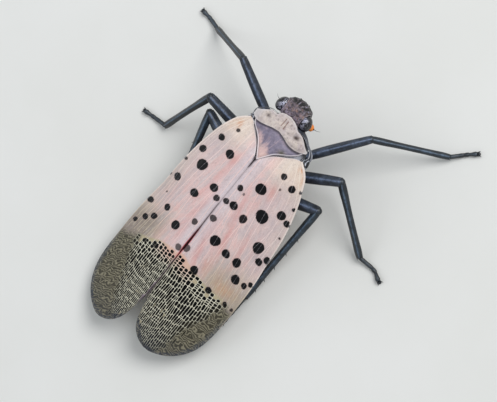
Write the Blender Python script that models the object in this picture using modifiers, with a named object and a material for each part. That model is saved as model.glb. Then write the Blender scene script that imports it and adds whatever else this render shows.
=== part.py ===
"""Spotted lanternfly at rest, life size, as solids.

Sizes are in millimetres. The head points to -Y, the animal's left is +X.
Body shapes are drawn along the body's own axis, which is then pitched and lifted.
Legs are drawn where they stand, with the floor at z = 0.
"""
import math

import bmesh
import bpy
from mathutils import Matrix, Vector

MM = 0.001
COLLECTION = "spotted_lanternfly"

# Stance of the body on its legs
PITCH_DEG = 9.0
PIVOT_Y = 8.0
LIFT = 4.8
STANCE_CENTRE = (0.26, 9.35)

# Roof of the folded forewings
RIDGE_SLOPE_DEG = 8.0
RIDGE_Y = (0.0, 2.5, 5.5, 11.0, 17.0, 21.0, 24.8)
RIDGE_Z = (1.6, 2.2, 3.0, 2.95, 2.3, 1.6, 0.7)
WING_RADIUS = 8.07
TIP_RADIUS = 13.0
RADIUS_GROWS = (13.0, 25.0)
WING_THICK = 0.5
WING_STRETCH = {"left": 1.019, "right": 0.986}
STRETCH_FROM = 4.0
WING_SWING = {"left": 0.12, "right": -0.18}
SWING_Y = (18.0, 24.0)
WING_ROWS, WING_COLUMNS = 26, 9

# Forewing outline as (distance along the body, arc from the ridge)
INNER_MARGIN = (
    (3.75, 3.02), (3.85, 2.45), (4.15, 1.85), (4.6, 1.2), (5.1, 0.6), (5.6, 0.22),
    (6.4, 0.12), (11.0, 0.13), (13.0, 0.15), (16.0, 0.12), (20.4, 0.12), (21.4, 0.28),
    (22.5, 0.45), (23.4, 0.72), (24.1, 1.15), (24.6, 1.75), (24.88, 2.45))
OUTER_MARGIN = (
    (3.75, 3.2), (4.0, 3.8), (4.5, 4.3), (5.3, 4.82), (6.4, 5.38), (7.8, 5.92),
    (9.3, 6.38), (10.9, 6.72), (12.5, 6.92), (14.0, 7.05), (15.5, 7.06), (17.0, 7.0),
    (18.6, 6.9), (20.0, 6.8), (21.3, 6.6), (22.4, 6.2), (23.3, 5.6), (24.1, 4.75),
    (24.6, 3.85), (24.88, 3.0))

# Hindwing outline, folded flat under the forewing
HIND_GAP = 0.62
HIND_THICK = 0.5
HIND_ROWS, HIND_COLUMNS = 14, 6
HIND_INNER = ((8.1, 0.9), (8.6, 0.5), (9.4, 0.25), (19.0, 0.25), (20.4, 0.5), (21.2, 1.4))
HIND_OUTER = (
    (8.1, 2.2), (8.5, 3.6), (9.6, 4.6), (12.0, 5.3), (15.0, 5.4), (18.0, 5.0),
    (20.2, 3.8), (21.2, 2.0))

# Pronotum plate, arched across the body, from its right tip to its left one
PRONOTUM_EDGE_X = (-2.68, -2.4, -2.1, -1.8, -1.4, -1.2, -0.95, -0.6, -0.1, 0.42, 0.78, 0.98, 1.55, 2.14, 2.5, 2.88)
PRONOTUM_FRONT_Y = (2.76, 2.5, 2.18, 1.94, 1.78, 1.72, 1.5, 1.33, 1.2, 1.28, 1.45, 1.76, 1.78, 2.22, 2.5, 2.82)
PRONOTUM_HIND_Y = (2.96, 3.08, 3.16, 3.18, 3.12, 3.07, 2.98, 2.86, 2.75, 2.84, 2.96, 3.04, 3.24, 3.37, 3.26, 3.02)
PRONOTUM_ARCH = 3.6
PRONOTUM_SHIFT = 0.17
PRONOTUM_Z, PRONOTUM_RISE = 1.8, 0.1
PLATE_THICK = 0.42

# Mesonotum plate, a triangle that ends between the wing bases
MESO_SIDE_Y = (3.3, 3.6, 4.0, 4.5, 5.0, 5.36)
MESO_SIDE_X = (2.25, 1.93, 1.34, 0.72, 0.34, 0.08)
MESO_ARCH = 5.5
MESO_Z, MESO_RISE = 1.78, 0.2
PLATE_GAP = 0.05

# Trunk and head sections as (y, half width, top, bottom)
THORAX = (
    (1.72, 1.2, 1.1, -0.6), (2.3, 2.0, 1.26, -1.35), (3.0, 2.38, 1.38, -1.75),
    (4.0, 2.54, 1.66, -1.9), (5.5, 2.65, 1.85, -1.95), (7.0, 2.55, 1.75, -1.95),
    (7.95, 2.2, 1.6, -1.85))
ABDOMEN = (
    (8.02, 2.1, 1.5, -1.9), (9.0, 2.45, 1.6, -2.2), (11.0, 2.6, 1.6, -2.35),
    (13.0, 2.55, 1.4, -2.3), (15.0, 2.25, 1.05, -2.0), (17.0, 1.65, 0.7, -1.5),
    (18.6, 0.95, 0.4, -1.0), (19.2, 0.4, 0.1, -0.6))
HEAD = (
    (-0.44, 0.4, 0.62, -0.05), (-0.32, 0.74, 0.9, -0.45), (-0.08, 1.04, 1.08, -0.88),
    (0.4, 1.24, 1.2, -1.18), (0.95, 1.32, 1.24, -1.3), (1.4, 1.22, 1.12, -1.1))
HEAD_SHIFT, HEAD_BACK = 0.43, 0.24
SEGMENTS_FROM_Y = (9.3, 10.7, 12.1, 13.5, 14.9, 16.2, 17.4)
SEGMENT_STEP = 0.09
TRUNK_SIDES = 24

# Eyes, feeler knobs and wing base scales as (x, y, z) and (radii)
EYE = ((1.28, 0.82, 0.42), (0.52, 0.66, 0.56))
ANTENNA = ((1.52, 0.98, -0.46), (0.42, 0.34, 0.34))
TEGULA = ((3.02, 3.6, 0.45), (0.38, 0.45, 0.42))
EYE_TURN_DEG = 18.0
SOCKET_GAP = 0.035

# Beak, folded back between the legs
BEAK = ((0.0, 0.75, -1.62), (0.0, 1.3, -2.1), (0.0, 2.4, -2.4), (0.0, 7.6, -2.65))
BEAK_RADII = (0.42, 0.34, 0.28, 0.25)

# Leg joints where they stand: hip, root of the thigh, knee, ankle, toe
LEGS = {
    "fore_left": ((1.3, 4.1, 2.98), (1.9, 3.36, 2.75), (7.07, 0.67, 5.2),
                  (11.58, 0.42, 0.55), (13.71, 0.09, 0.24)),
    "mid_left": ((1.4, 6.0, 2.72), (2.5, 5.45, 2.55), (7.06, 4.9, 5.0),
                 (9.43, 9.5, 0.55), (11.79, 9.76, 0.24)),
    "hind_left": ((1.3, 7.75, 2.45), (2.6, 7.5, 2.4), (6.5, 5.97, 3.7),
                  (4.35, 14.8, 0.55), (3.6, 17.7, 0.24)),
    "fore_right": ((-1.0, 4.5, 2.92), (-1.61, 3.88, 2.75), (-5.33, -1.36, 3.6),
                   (-10.68, -4.51, 0.55), (-12.3, -6.3, 0.24)),
    "mid_right": ((-1.1, 6.05, 2.7), (-1.92, 5.45, 2.6), (-5.87, 2.94, 3.9),
                  (-10.63, 6.75, 0.55), (-13.2, 7.2, 0.24)),
    "hind_right": ((-1.2, 7.75, 2.45), (-2.42, 7.31, 2.4), (-5.92, 6.04, 3.45),
                   (-5.55, 15.7, 0.55), (-5.5, 18.6, 0.24)),
}
# How stout the thigh and the shin of each pair are, and how far the thigh stops before the knee
LEG_GIRTH = {"fore": (1.08, 1.06, 0.04), "mid": (1.25, 1.2, 0.04), "hind": (1.28, 1.2, 0.14)}
COXA_RADII = (0.44, 0.42, 0.32)
FEMUR_RADII = (0.28, 0.35, 0.38, 0.37, 0.28)
TIBIA_RADII = (0.3, 0.26, 0.25, 0.25, 0.27)
TARSUS_RADII = (0.2, 0.25, 0.25, 0.28, 0.18)
LEG_RESOLUTION = 3
JOINT_GAP = 0.04
FLAT_BELOW, FLAT_FROM = 0.06, 0.5

COLOURS = {
    "head": (0.16, 0.14, 0.14), "eye": (0.03, 0.03, 0.04), "antenna": (0.8, 0.25, 0.03),
    "beak": (0.05, 0.05, 0.06), "pronotum": (0.56, 0.48, 0.47), "mesonotum": (0.28, 0.25, 0.33),
    "thorax": (0.12, 0.11, 0.12), "abdomen": (0.75, 0.52, 0.08), "tegula": (0.5, 0.45, 0.45),
    "forewing": (0.6, 0.45, 0.4), "hindwing": (0.6, 0.05, 0.03), "coxa": (0.05, 0.06, 0.07),
    "femur": (0.07, 0.1, 0.13), "tibia": (0.05, 0.08, 0.1), "tarsus": (0.03, 0.04, 0.05)}


def clear_scene():
    for item in list(bpy.data.objects):
        bpy.data.objects.remove(item, do_unlink=True)


def along(value, keys, values):
    """Straight-line value of a table, held at both ends."""
    if value <= keys[0]:
        return values[0]
    for a, b, va, vb in zip(keys, keys[1:], values, values[1:]):
        if value <= b:
            return va + (vb - va) * (value - a) / (b - a)
    return values[-1]


def smooth_curve(points, count):
    """Evenly spaced points on a smooth curve through the given ones."""
    ends = [points[0]] + list(points) + [points[-1]]
    fine = []
    for a, b, c, d in zip(ends, ends[1:], ends[2:], ends[3:]):
        a, b, c, d = (Vector(p) for p in (a, b, c, d))
        for k in range(8):
            t = k / 8
            fine.append(0.5 * (2 * b + (c - a) * t + (2 * a - 5 * b + 4 * c - d) * t ** 2
                               + (3 * b - a - 3 * c + d) * t ** 3))
    fine.append(Vector(points[-1]))
    run = [0.0]
    for p, q in zip(fine, fine[1:]):
        run.append(run[-1] + (q - p).length)
    return [along_points(run[-1] * k / (count - 1), run, fine) for k in range(count)]


def along_points(value, keys, points):
    for a, b, p, q in zip(keys, keys[1:], points, points[1:]):
        if value <= b:
            return p.lerp(q, (value - a) / max(b - a, 1e-9))
    return points[-1].copy()


def material(name):
    mat = bpy.data.materials.new(name)
    mat.use_nodes = True
    shader = mat.node_tree.nodes["Principled BSDF"]
    shader.inputs["Base Color"].default_value = (*COLOURS[name.split("_")[0]], 1.0)
    shader.inputs["Roughness"].default_value = 0.5
    return mat


def add_object(name, bm, parent, collection, round_shading=True):
    """Turn a bmesh in millimetres into a named object in metres."""
    bmesh.ops.recalc_face_normals(bm, faces=bm.faces)
    bmesh.ops.scale(bm, vec=(MM, MM, MM), verts=bm.verts)
    mesh = bpy.data.meshes.new(name)
    bm.to_mesh(mesh)
    bm.free()
    for face in mesh.polygons:
        face.use_smooth = round_shading
    mesh.materials.append(material(name))
    item = bpy.data.objects.new(name, mesh)
    item.parent = parent
    collection.objects.link(item)
    return item


def ring_tube(rings):
    """Closed tube through rings of points, capped flat at both ends."""
    bm = bmesh.new()
    loops = [[bm.verts.new(p) for p in ring] for ring in rings]
    sides = len(loops[0])
    for low, high in zip(loops, loops[1:]):
        for k in range(sides):
            n = (k + 1) % sides
            bm.faces.new((low[k], low[n], high[n], high[k]))
    bm.faces.new(loops[0])
    bm.faces.new(list(reversed(loops[-1])))
    return bm


def trunk_rings(sections):
    """Oval rings across the body, a little squarer than an ellipse."""
    rings = []
    for y, half, top, bottom in sections:
        mid, tall = (top + bottom) / 2, (top - bottom) / 2
        ring = []
        for k in range(TRUNK_SIDES):
            a = 2 * math.pi * k / TRUNK_SIDES
            ca, sa = math.cos(a), math.sin(a)
            bulge = (abs(ca) ** 2.3 + abs(sa) ** 2.3) ** (-1 / 2.3)
            ring.append((half * ca * bulge, y, mid + tall * sa * bulge))
        rings.append(ring)
    return rings


def rounded_limb(start, end, radii, round_start=True, round_end=True):
    """Path and radii of a straight limb, with its ends rounded over."""
    start, end = Vector(start), Vector(end)
    path = [start.lerp(end, k / (len(radii) - 1)) for k in range(len(radii))]
    radii = list(radii)
    axis = (end - start).normalized()
    if round_start:
        r = radii[0]
        path.insert(0, start - axis * r * 0.6)
        path.insert(0, start - axis * r * 0.95)
        radii = [r * 0.35, r * 0.8] + radii
    if round_end:
        r = radii[-1]
        path += [end + axis * r * 0.6, end + axis * r * 0.95]
        radii += [r * 0.8, r * 0.35]
    return path, radii


def wing_radius(y):
    return along(y, RADIUS_GROWS, (WING_RADIUS, TIP_RADIUS))


def wing_point(y, arc, side, depth=0.0):
    """Point of the wing roof, at an arc length from the ridge and a depth under it."""
    slope = math.radians(RIDGE_SLOPE_DEG)
    radius = wing_radius(y)
    arc += along(y, SWING_Y, (0.0, WING_SWING[side]))
    turn = slope + arc / radius
    x = radius * (math.sin(turn) - math.sin(slope)) - depth * math.sin(turn)
    drop = radius * (math.cos(slope) - math.cos(turn)) + depth * math.cos(turn)
    sign = 1 if side == "left" else -1
    y = STRETCH_FROM + (y - STRETCH_FROM) * WING_STRETCH[side]
    return Vector((sign * x, y, along(y, RIDGE_Y, RIDGE_Z) - drop))


def sheet(rows):
    """Open grid of faces through rows of points."""
    bm = bmesh.new()
    grid = [[bm.verts.new(p) for p in row] for row in rows]
    for low, high in zip(grid, grid[1:]):
        for k in range(len(low) - 1):
            bm.faces.new((low[k], low[k + 1], high[k + 1], high[k]))
    return bm


def face_up(bm):
    """Make every face of an open sheet look upwards."""
    bm.normal_update()
    if sum(face.normal.z for face in bm.faces) < 0:
        bmesh.ops.reverse_faces(bm, faces=bm.faces)


def add_shell(name, bm, thickness, parent, collection):
    """Sheet given its thickness on the underside."""
    face_up(bm)
    bmesh.ops.scale(bm, vec=(MM, MM, MM), verts=bm.verts)
    mesh = bpy.data.meshes.new(name)
    bm.to_mesh(mesh)
    bm.free()
    for face in mesh.polygons:
        face.use_smooth = True
    mesh.materials.append(material(name))
    item = bpy.data.objects.new(name, mesh)
    item.parent = parent
    collection.objects.link(item)
    solid = item.modifiers.new("thickness", "SOLIDIFY")
    solid.thickness = thickness * MM
    solid.offset = -1.0
    return item


def wing_rows(inner, outer, rows, columns, side, depth=0.0):
    """Rows of points across a wing, from its inner to its outer margin."""
    lines = zip(smooth_curve(inner, rows), smooth_curve(outer, rows))
    result = []
    for a, b in lines:
        arcs = [a.lerp(b, k / (columns - 1)) for k in range(columns)]
        result.append([wing_point(p.x, p.y, side, depth) for p in arcs])
    return result


def add_wings(parent, collection):
    for side in ("left", "right"):
        rows = wing_rows(INNER_MARGIN, OUTER_MARGIN, WING_ROWS, WING_COLUMNS, side)
        add_shell("forewing_" + side, sheet(rows), WING_THICK, parent, collection)
        rows = wing_rows(HIND_INNER, HIND_OUTER, HIND_ROWS, HIND_COLUMNS, side, HIND_GAP)
        add_shell("hindwing_" + side, sheet(rows), HIND_THICK, parent, collection)


def add_pronotum(parent, collection):
    rows = []
    for k in range(5):
        row = []
        for x, a, b in zip(PRONOTUM_EDGE_X, PRONOTUM_FRONT_Y, PRONOTUM_HIND_Y):
            y = a + (b - a) * k / 4
            drop = PRONOTUM_ARCH - math.sqrt(PRONOTUM_ARCH ** 2 - x * x)
            row.append((x + PRONOTUM_SHIFT, y, PRONOTUM_Z + PRONOTUM_RISE * y - drop))
        rows.append(row)
    add_shell("pronotum", sheet(rows), PLATE_THICK, parent, collection)


def meso_height(x, y):
    drop = MESO_ARCH - math.sqrt(MESO_ARCH ** 2 - x * x)
    return MESO_Z + MESO_RISE * y - drop


def add_mesonotum(parent, collection):
    rows = []
    hind_edge = PRONOTUM_EDGE_X, PRONOTUM_HIND_Y
    for y_side, half in zip(MESO_SIDE_Y, MESO_SIDE_X):
        row = []
        for k in range(11):
            x = half * (k / 5 - 1)
            front = along(x - PRONOTUM_SHIFT, *hind_edge) + PLATE_GAP
            fade = (y_side - MESO_SIDE_Y[0]) / (MESO_SIDE_Y[-1] - MESO_SIDE_Y[0])
            start = front if y_side == MESO_SIDE_Y[0] else None
            y = start if start else y_side + (front - MESO_SIDE_Y[0]) * (1 - fade) ** 2
            row.append((x, y, meso_height(x, y)))
        rows.append(row)
    add_shell("mesonotum", sheet(rows), PLATE_THICK, parent, collection)


def add_ball(name, spec, sign, parent, collection, turn_deg=0.0, grow=0.0):
    (x, y, z), radii = spec
    bm = bmesh.new()
    bmesh.ops.create_uvsphere(bm, u_segments=14, v_segments=9, radius=1.0)
    turn = Matrix.Rotation(-sign * math.radians(turn_deg), 4, "Z")
    size = Matrix.Diagonal((*(r + grow for r in radii), 1.0))
    place = Matrix.Translation((sign * x, y, z)) @ turn @ size
    bmesh.ops.transform(bm, matrix=place, verts=bm.verts)
    return add_object(name, bm, parent, collection)


def cut(target, cutter):
    """Take the cutter's shape out of the target and keep the cutter hidden."""
    tool = target.modifiers.new("socket", "BOOLEAN")
    tool.operation, tool.solver, tool.object = "DIFFERENCE", "EXACT", cutter
    cutter.hide_render = True
    cutter.display_type = "WIRE"


def stepped(sections):
    """Sections with a small step where each ring of the abdomen slips under the last."""
    result = list(sections)
    ys = [row[0] for row in sections]
    for y in SEGMENTS_FROM_Y:
        half, top, bottom = (along(y, ys, [row[k] for row in sections]) for k in (1, 2, 3))
        result.append((y, half, top, bottom))
        result.append((y + 0.06, half - SEGMENT_STEP, top - SEGMENT_STEP, bottom + SEGMENT_STEP))
        after = (along(y + 0.5, ys, [row[k] for row in sections]) for k in (1, 2, 3))
        result.append((y + 0.5, *after))
    return sorted(result)


def add_trunk(parent, collection):
    for name, sections in (("thorax", THORAX), ("abdomen", stepped(ABDOMEN))):
        add_object(name, ring_tube(trunk_rings(sections)), parent, collection)
    for side, sign in (("left", 1), ("right", -1)):
        add_ball("tegula_" + side, TEGULA, sign, parent, collection)


def add_head(parent, collection, cutters):
    """Head with its beak, and with sockets for the eyes and feelers."""
    head = add_object("head", ring_tube(trunk_rings(HEAD)), parent, collection)
    add_tube("beak", BEAK, BEAK_RADII, parent, collection)
    for side, sign in (("left", 1), ("right", -1)):
        for kind, spec, turn in (("eye", EYE, EYE_TURN_DEG), ("antenna", ANTENNA, 0.0)):
            name = kind + "_socket_" + side
            add_ball(kind + "_" + side, spec, sign, parent, collection, turn)
            cut(head, add_ball(name, spec, sign, parent, cutters, turn, SOCKET_GAP))


def add_tube(name, path, radii, parent, collection):
    """Round tube on a path whose radius changes from point to point."""
    curve = bpy.data.curves.new(name, "CURVE")
    curve.dimensions = "3D"
    curve.bevel_depth = MM
    curve.bevel_resolution = LEG_RESOLUTION
    curve.use_fill_caps = True
    spline = curve.splines.new("POLY")
    spline.points.add(len(path) - 1)
    for point, place, radius in zip(spline.points, path, radii):
        point.co = (*(Vector(place) * MM), 1.0)
        point.radius = radius
    curve.materials.append(material(name))
    item = bpy.data.objects.new(name, curve)
    item.parent = parent
    collection.objects.link(item)
    return item


def add_limb(name, start, end, radii, parent, collection, **ends):
    path, radii = rounded_limb(start, end, radii, **ends)
    add_tube(name, path, radii, parent, collection)


def as_mesh(item):
    """Swap a curve object for the closed mesh it draws."""
    bpy.context.view_layer.update()
    seen = item.evaluated_get(bpy.context.evaluated_depsgraph_get())
    mesh = bpy.data.meshes.new_from_object(seen)
    name, parent, collection = item.name, item.parent, item.users_collection[0]
    bpy.data.objects.remove(item, do_unlink=True)
    bm = bmesh.new()
    bm.from_mesh(mesh)
    bmesh.ops.remove_doubles(bm, verts=bm.verts, dist=1e-6)
    bm.to_mesh(mesh)
    bm.free()
    mesh.shade_smooth()
    result = bpy.data.objects.new(name, mesh)
    result.parent = parent
    collection.objects.link(result)
    return result


def add_foot(name, ankle, toe, shin, parent, collection):
    """Foot that levels out on its way to the toe and stands on a flat."""
    ankle, toe = Vector(ankle), Vector(toe)
    middle = ankle.lerp(toe, 0.5)
    middle.z = toe.z + 0.03
    heel = ankle + (middle - ankle).normalized() * (shin + JOINT_GAP)
    bend = toe - (toe - middle) * 0.25
    end = toe + (toe - middle).normalized() * 0.08
    foot = as_mesh(add_tube(name, [heel, middle, bend, toe, end], TARSUS_RADII, parent, collection))
    for vert in foot.data.vertices:
        if vert.co.z < FLAT_BELOW * MM and (vert.co - heel * MM).length > FLAT_FROM * MM:
            vert.co.z = 0.0


def short_of(start, end, distance):
    """Point that lies a distance short of the end."""
    start, end = Vector(start), Vector(end)
    return end - (end - start).normalized() * distance


def add_legs(parent, collection):
    for leg, (hip, root, knee, ankle, toe) in LEGS.items():
        thigh, shin, knee_gap = LEG_GIRTH[leg.split("_")[0]]
        femur_radii = [r * thigh for r in FEMUR_RADII]
        tibia_radii = [r * shin for r in TIBIA_RADII]
        knee_reach = tibia_radii[0] + knee_gap
        root_reach = femur_radii[0] + JOINT_GAP
        add_limb("coxa_" + leg, hip, short_of(hip, root, root_reach), COXA_RADII,
                 parent, collection, round_end=False)
        add_limb("femur_" + leg, root, short_of(root, knee, knee_reach), femur_radii,
                 parent, collection, round_end=False)
        add_limb("tibia_" + leg, knee, ankle, tibia_radii, parent, collection)
        add_foot("tarsus_" + leg, ankle, toe, tibia_radii[-1], parent, collection)


def main():
    clear_scene()
    collection = bpy.data.collections.new(COLLECTION)
    cutters = bpy.data.collections.new("cutters")
    for item in (collection, cutters):
        bpy.context.scene.collection.children.link(item)
    stance = bpy.data.objects.new("stance", None)
    stance.location = (-STANCE_CENTRE[0] * MM, -STANCE_CENTRE[1] * MM, 0.0)
    body = bpy.data.objects.new("body_axis", None)
    body.parent = stance
    body.rotation_euler = (-math.radians(PITCH_DEG), 0.0, 0.0)
    turned = body.rotation_euler.to_matrix() @ Vector((0.0, -PIVOT_Y, 0.0))
    body.location = (Vector((0.0, PIVOT_Y, LIFT)) + turned) * MM
    neck = bpy.data.objects.new("neck_axis", None)
    neck.parent = body
    neck.location = (HEAD_SHIFT * MM, HEAD_BACK * MM, 0.0)
    for empty in (stance, body, neck):
        collection.objects.link(empty)
    add_trunk(body, collection)
    add_head(neck, collection, cutters)
    add_pronotum(body, collection)
    add_mesonotum(body, collection)
    add_wings(body, collection)
    add_legs(stance, collection)


main()
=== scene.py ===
"""Looks of a life-size spotted lanternfly that stands on its six feet.

Sizes are in millimetres until they reach a mesh. The head points to -Y.
"""
import math

import bpy
import numpy as np
from mathutils import Matrix, Vector


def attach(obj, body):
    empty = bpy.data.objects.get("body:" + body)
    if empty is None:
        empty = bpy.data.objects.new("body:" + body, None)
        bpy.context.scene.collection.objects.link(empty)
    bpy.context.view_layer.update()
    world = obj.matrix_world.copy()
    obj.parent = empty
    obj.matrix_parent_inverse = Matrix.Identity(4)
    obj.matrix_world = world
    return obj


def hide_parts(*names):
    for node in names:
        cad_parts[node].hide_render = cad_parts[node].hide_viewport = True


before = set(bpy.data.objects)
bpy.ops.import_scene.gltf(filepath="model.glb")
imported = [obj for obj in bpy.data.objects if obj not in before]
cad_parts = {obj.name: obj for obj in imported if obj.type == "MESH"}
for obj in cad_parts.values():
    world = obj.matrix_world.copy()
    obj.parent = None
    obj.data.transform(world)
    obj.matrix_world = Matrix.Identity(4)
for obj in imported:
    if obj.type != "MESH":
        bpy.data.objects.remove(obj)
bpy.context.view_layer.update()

MM = 0.001
RNG = np.random.default_rng(7)

# Stance, as in the solids
PITCH = math.radians(9.0)
PIVOT_Y, LIFT = 8.0, 4.8
STANCE = np.array([0.26, 9.35, 0.0])

# Wing roof, as in the solids: its slope at the seam, the radius of its curve, and its swing near the tip
SLOPE = math.radians(8.0)
CURVE = ((13, 25), (8.07, 13.0))
SWING_Y, STRETCH_FROM = (18, 24), 4
RIDGE_Y = (0.0, 2.5, 5.5, 11.0, 17.0, 21.0, 24.8)
RIDGE_Z = (1.6, 2.2, 3.0, 2.95, 2.3, 1.6, 0.7)
SIDES = {"left": (1, 1.019, 0.12), "right": (-1, 0.986, -0.18)}

# Edges of a forewing, toward the seam and outside: (along the body, arc from the seam)
INNER = np.array((
    (3.45, 2.85), (3.55, 2.45), (3.8, 2.02), (4.1, 1.52), (4.4, 1.07), (4.7, 0.73), (5.05, 0.42),
    (5.43, 0.17), (5.8, 0.05), (6.4, 0.02), (6.8, 0.0), (10.2, 0.0), (11.5, 0.012), (12.8, 0.025),
    (13.8, 0.07), (14.6, 0.105), (15.4, 0.085), (16.1, 0.03), (19.0, 0.03), (20.4, 0.08), (21.4, 0.27),
    (22.5, 0.45), (23.4, 0.72), (24.1, 1.15), (24.6, 1.75), (24.88, 2.45)))
OUTER = np.array((
    (3.45, 3.05), (3.7, 3.4), (4.0, 3.82), (4.5, 4.32), (5.3, 4.82), (6.4, 5.38), (7.8, 5.92),
    (9.3, 6.38), (10.9, 6.72), (12.5, 6.92), (14.0, 7.05), (15.5, 7.06), (17.0, 7.0), (18.6, 6.9),
    (20.0, 6.8), (21.3, 6.6), (22.4, 6.2), (23.3, 5.6), (24.1, 4.75), (24.6, 3.85), (24.88, 3.0)))

# Spots as (distance along the body, arc from the seam, radius, darkness)
SPOTS = {
    "left": (
        (4.94, 3.0, .15, .8), (6.41, 4.04, .28, 1), (8.37, 5.17, .31, 1), (6.79, 2.07, .37, 1),
        (9.21, 3.76, .47, 1), (10.16, 6.38, .14, .8), (11.67, 5.48, .32, 1), (12.16, 7.2, .15, 1),
        (9.74, 1.25, .35, 1), (11.3, 2.47, .35, 1), (10.2, .45, .27, .9), (14.94, 6.55, .25, 1),
        (14.0, 3.88, .28, 1), (13.26, 5.36, .08, .5), (15.44, 4.5, .27, 1), (16.13, 5.32, .25, 1),
        (17.03, 6.19, .2, 1), (14.42, 1.91, .37, 1), (12.99, .68, .26, .75), (15.58, .42, .27, .6),
        (17.4, 3.47, .19, 1), (16.98, 2.33, .24, 1)),
    "right": (
        (5.22, 2.77, .25, .95), (5.71, 4.02, .3, 1), (5.55, 4.89, .15, .9), (7.21, 1.96, .46, 1),
        (8.23, .59, .25, .95), (8.48, 1.14, .1, .35), (6.31, 3.24, .1, .45), (9.83, .36, .25, .9),
        (9.74, 1.08, .35, 1), (11.67, .42, .29, .75), (10.15, 2.39, .35, .95), (9.05, 3.52, .54, 1),
        (8.09, 4.86, .38, 1), (7.1, 5.43, .15, 1), (8.45, 5.79, .27, 1), (9.86, 6.2, .09, .8),
        (13.09, 1.7, .45, 1), (11.47, 5.12, .49, 1), (13.44, 3.08, .35, 1), (13.58, 4.35, .38, 1),
        (12.53, 6.03, .3, 1), (12.08, 6.69, .31, 1), (14.87, 5.2, .38, 1), (14.98, 6.27, .24, 1),
        (14.62, 6.75, .2, 1), (15.15, .2, .31, .6), (16.25, 1.83, .36, 1), (16.94, 3.84, .27, 1),
        (17.15, 5.76, .18, .95), (17.32, 6.65, .14, .8))}

# Rosy patches as (distance along the body, arc from the seam, half length, half width, strength)
ROSE = {
    "left": ((6.9, 1.35, 0.75, 0.3, 0.8), (8.6, 1.7, 1.4, 0.22, 0.4), (12.6, 1.2, 1.8, 0.24, 0.55),
             (10.9, 2.0, 1.2, 0.2, 0.4), (14.4, 1.15, 1.2, 0.22, 0.5), (15.5, 2.9, 0.9, 0.2, 0.35)),
    "right": ((6.9, 2.9, 0.8, 0.36, 0.7), (10.0, 1.75, 1.8, 0.24, 0.6), (12.6, 2.3, 1.7, 0.24, 0.65),
              (14.6, 1.1, 1.5, 0.3, 0.75), (15.6, 2.4, 0.9, 0.34, 0.6), (8.6, 2.6, 1.0, 0.22, 0.4),
              (12.2, 3.9, 1.6, 0.2, 0.4))}

# Front edge of the netted tip, and the edge past which its cells turn grey-brown
NET_FRONT = {"left": ((0.0, 0.9, 2.1, 3.6, 5.1, 6.0, 7.2), (15.9, 16.0, 16.3, 17.1, 17.6, 18.0, 18.3)),
             "right": ((0.0, 0.6, 1.3, 3.4, 4.6, 5.8, 7.2), (15.7, 15.8, 16.15, 16.75, 16.85, 17.0, 17.4))}
NET_FADE = {"left": ((15.0, 18.5, 19.8, 21.3, 22.9, 25.0), (5.6, 3.9, 3.4, 2.8, 2.1, 1.2)),
            "right": ((15.0, 17.4, 18.7, 19.9, 21.0, 22.5, 23.5, 25.0),
                      (6.6, 5.7, 4.9, 4.3, 3.9, 3.6, 3.2, 2.8))}

# Veins of the forepart of a wing, each through these places
VEINS = (
    ((5.3, .35), (8.2, .4), (12.0, .38), (15.9, .3)),
    ((4.5, 1.2), (6.5, 1.12), (9.7, 1.1), (12.5, 1.15), (16.0, 1.0)),
    ((4.15, 1.75), (7.2, 2.0), (10.1, 2.42), (13.4, 3.08), (17.0, 3.7)),
    ((9.0, 1.1), (11.0, 1.35), (13.1, 1.72), (16.6, 1.95)),
    ((3.9, 2.5), (5.2, 2.85), (9.05, 3.58), (13.5, 4.3), (17.2, 4.8)),
    ((3.85, 2.95), (5.7, 3.98), (8.1, 4.8), (11.5, 5.15), (14.9, 5.2), (17.4, 5.4)),
    ((3.9, 3.3), (6.0, 4.8), (8.45, 5.72), (12.5, 6.05), (15.0, 6.25), (17.6, 6.35)),
    ((9.2, 3.0), (12.5, 3.62), (16.9, 4.25)),
    ((10.5, 2.5), (13.5, 2.45), (16.8, 2.7)),
    ((9.5, 5.1), (12.0, 4.75), (14.5, 4.75), (17.2, 5.0)),
    ((10.0, 5.95), (13.0, 5.65), (17.3, 5.85)),
    ((11.5, 2.85), (14.5, 3.3), (16.9, 3.3)))

# Leg joints where they stand: hip, root of the thigh, knee, ankle, toe
LEGS = {
    "fore_left": ((1.3, 4.1, 2.98), (1.9, 3.36, 2.75), (7.07, 0.67, 5.2),
                  (11.58, 0.42, 0.55), (13.71, 0.09, 0.24)),
    "mid_left": ((1.4, 6.0, 2.72), (2.5, 5.45, 2.55), (7.06, 4.9, 5.0),
                 (9.43, 9.5, 0.55), (11.79, 9.76, 0.24)),
    "hind_left": ((1.3, 7.75, 2.45), (2.6, 7.5, 2.4), (6.5, 5.97, 3.7),
                  (4.35, 14.8, 0.55), (3.6, 17.7, 0.24)),
    "fore_right": ((-1.0, 4.5, 2.92), (-1.61, 3.88, 2.75), (-5.33, -1.36, 3.6),
                   (-10.68, -4.51, 0.55), (-12.3, -6.3, 0.24)),
    "mid_right": ((-1.1, 6.05, 2.7), (-1.92, 5.45, 2.6), (-5.87, 2.94, 3.9),
                  (-10.63, 6.75, 0.55), (-13.2, 7.2, 0.24)),
    "hind_right": ((-1.2, 7.75, 2.45), (-2.42, 7.31, 2.4), (-5.92, 6.04, 3.45),
                   (-5.55, 15.7, 0.55), (-5.5, 18.6, 0.24)),
}
# How stout the thigh and the shin of each pair are
LEG_GIRTH = {"fore": (1.02, 0.94), "mid": (1.18, 1.08), "hind": (1.22, 1.1)}
# How far each foot bows to its outer side
FOOT_BOW = {"mid_right": 0.26, "fore_right": 0.06, "fore_left": 0.05}
# How far the head and the plates sit off the body's axis
NECK = (0.43, 0.24, 0.0)
PLATE_SHIFT = 0.17
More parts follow.
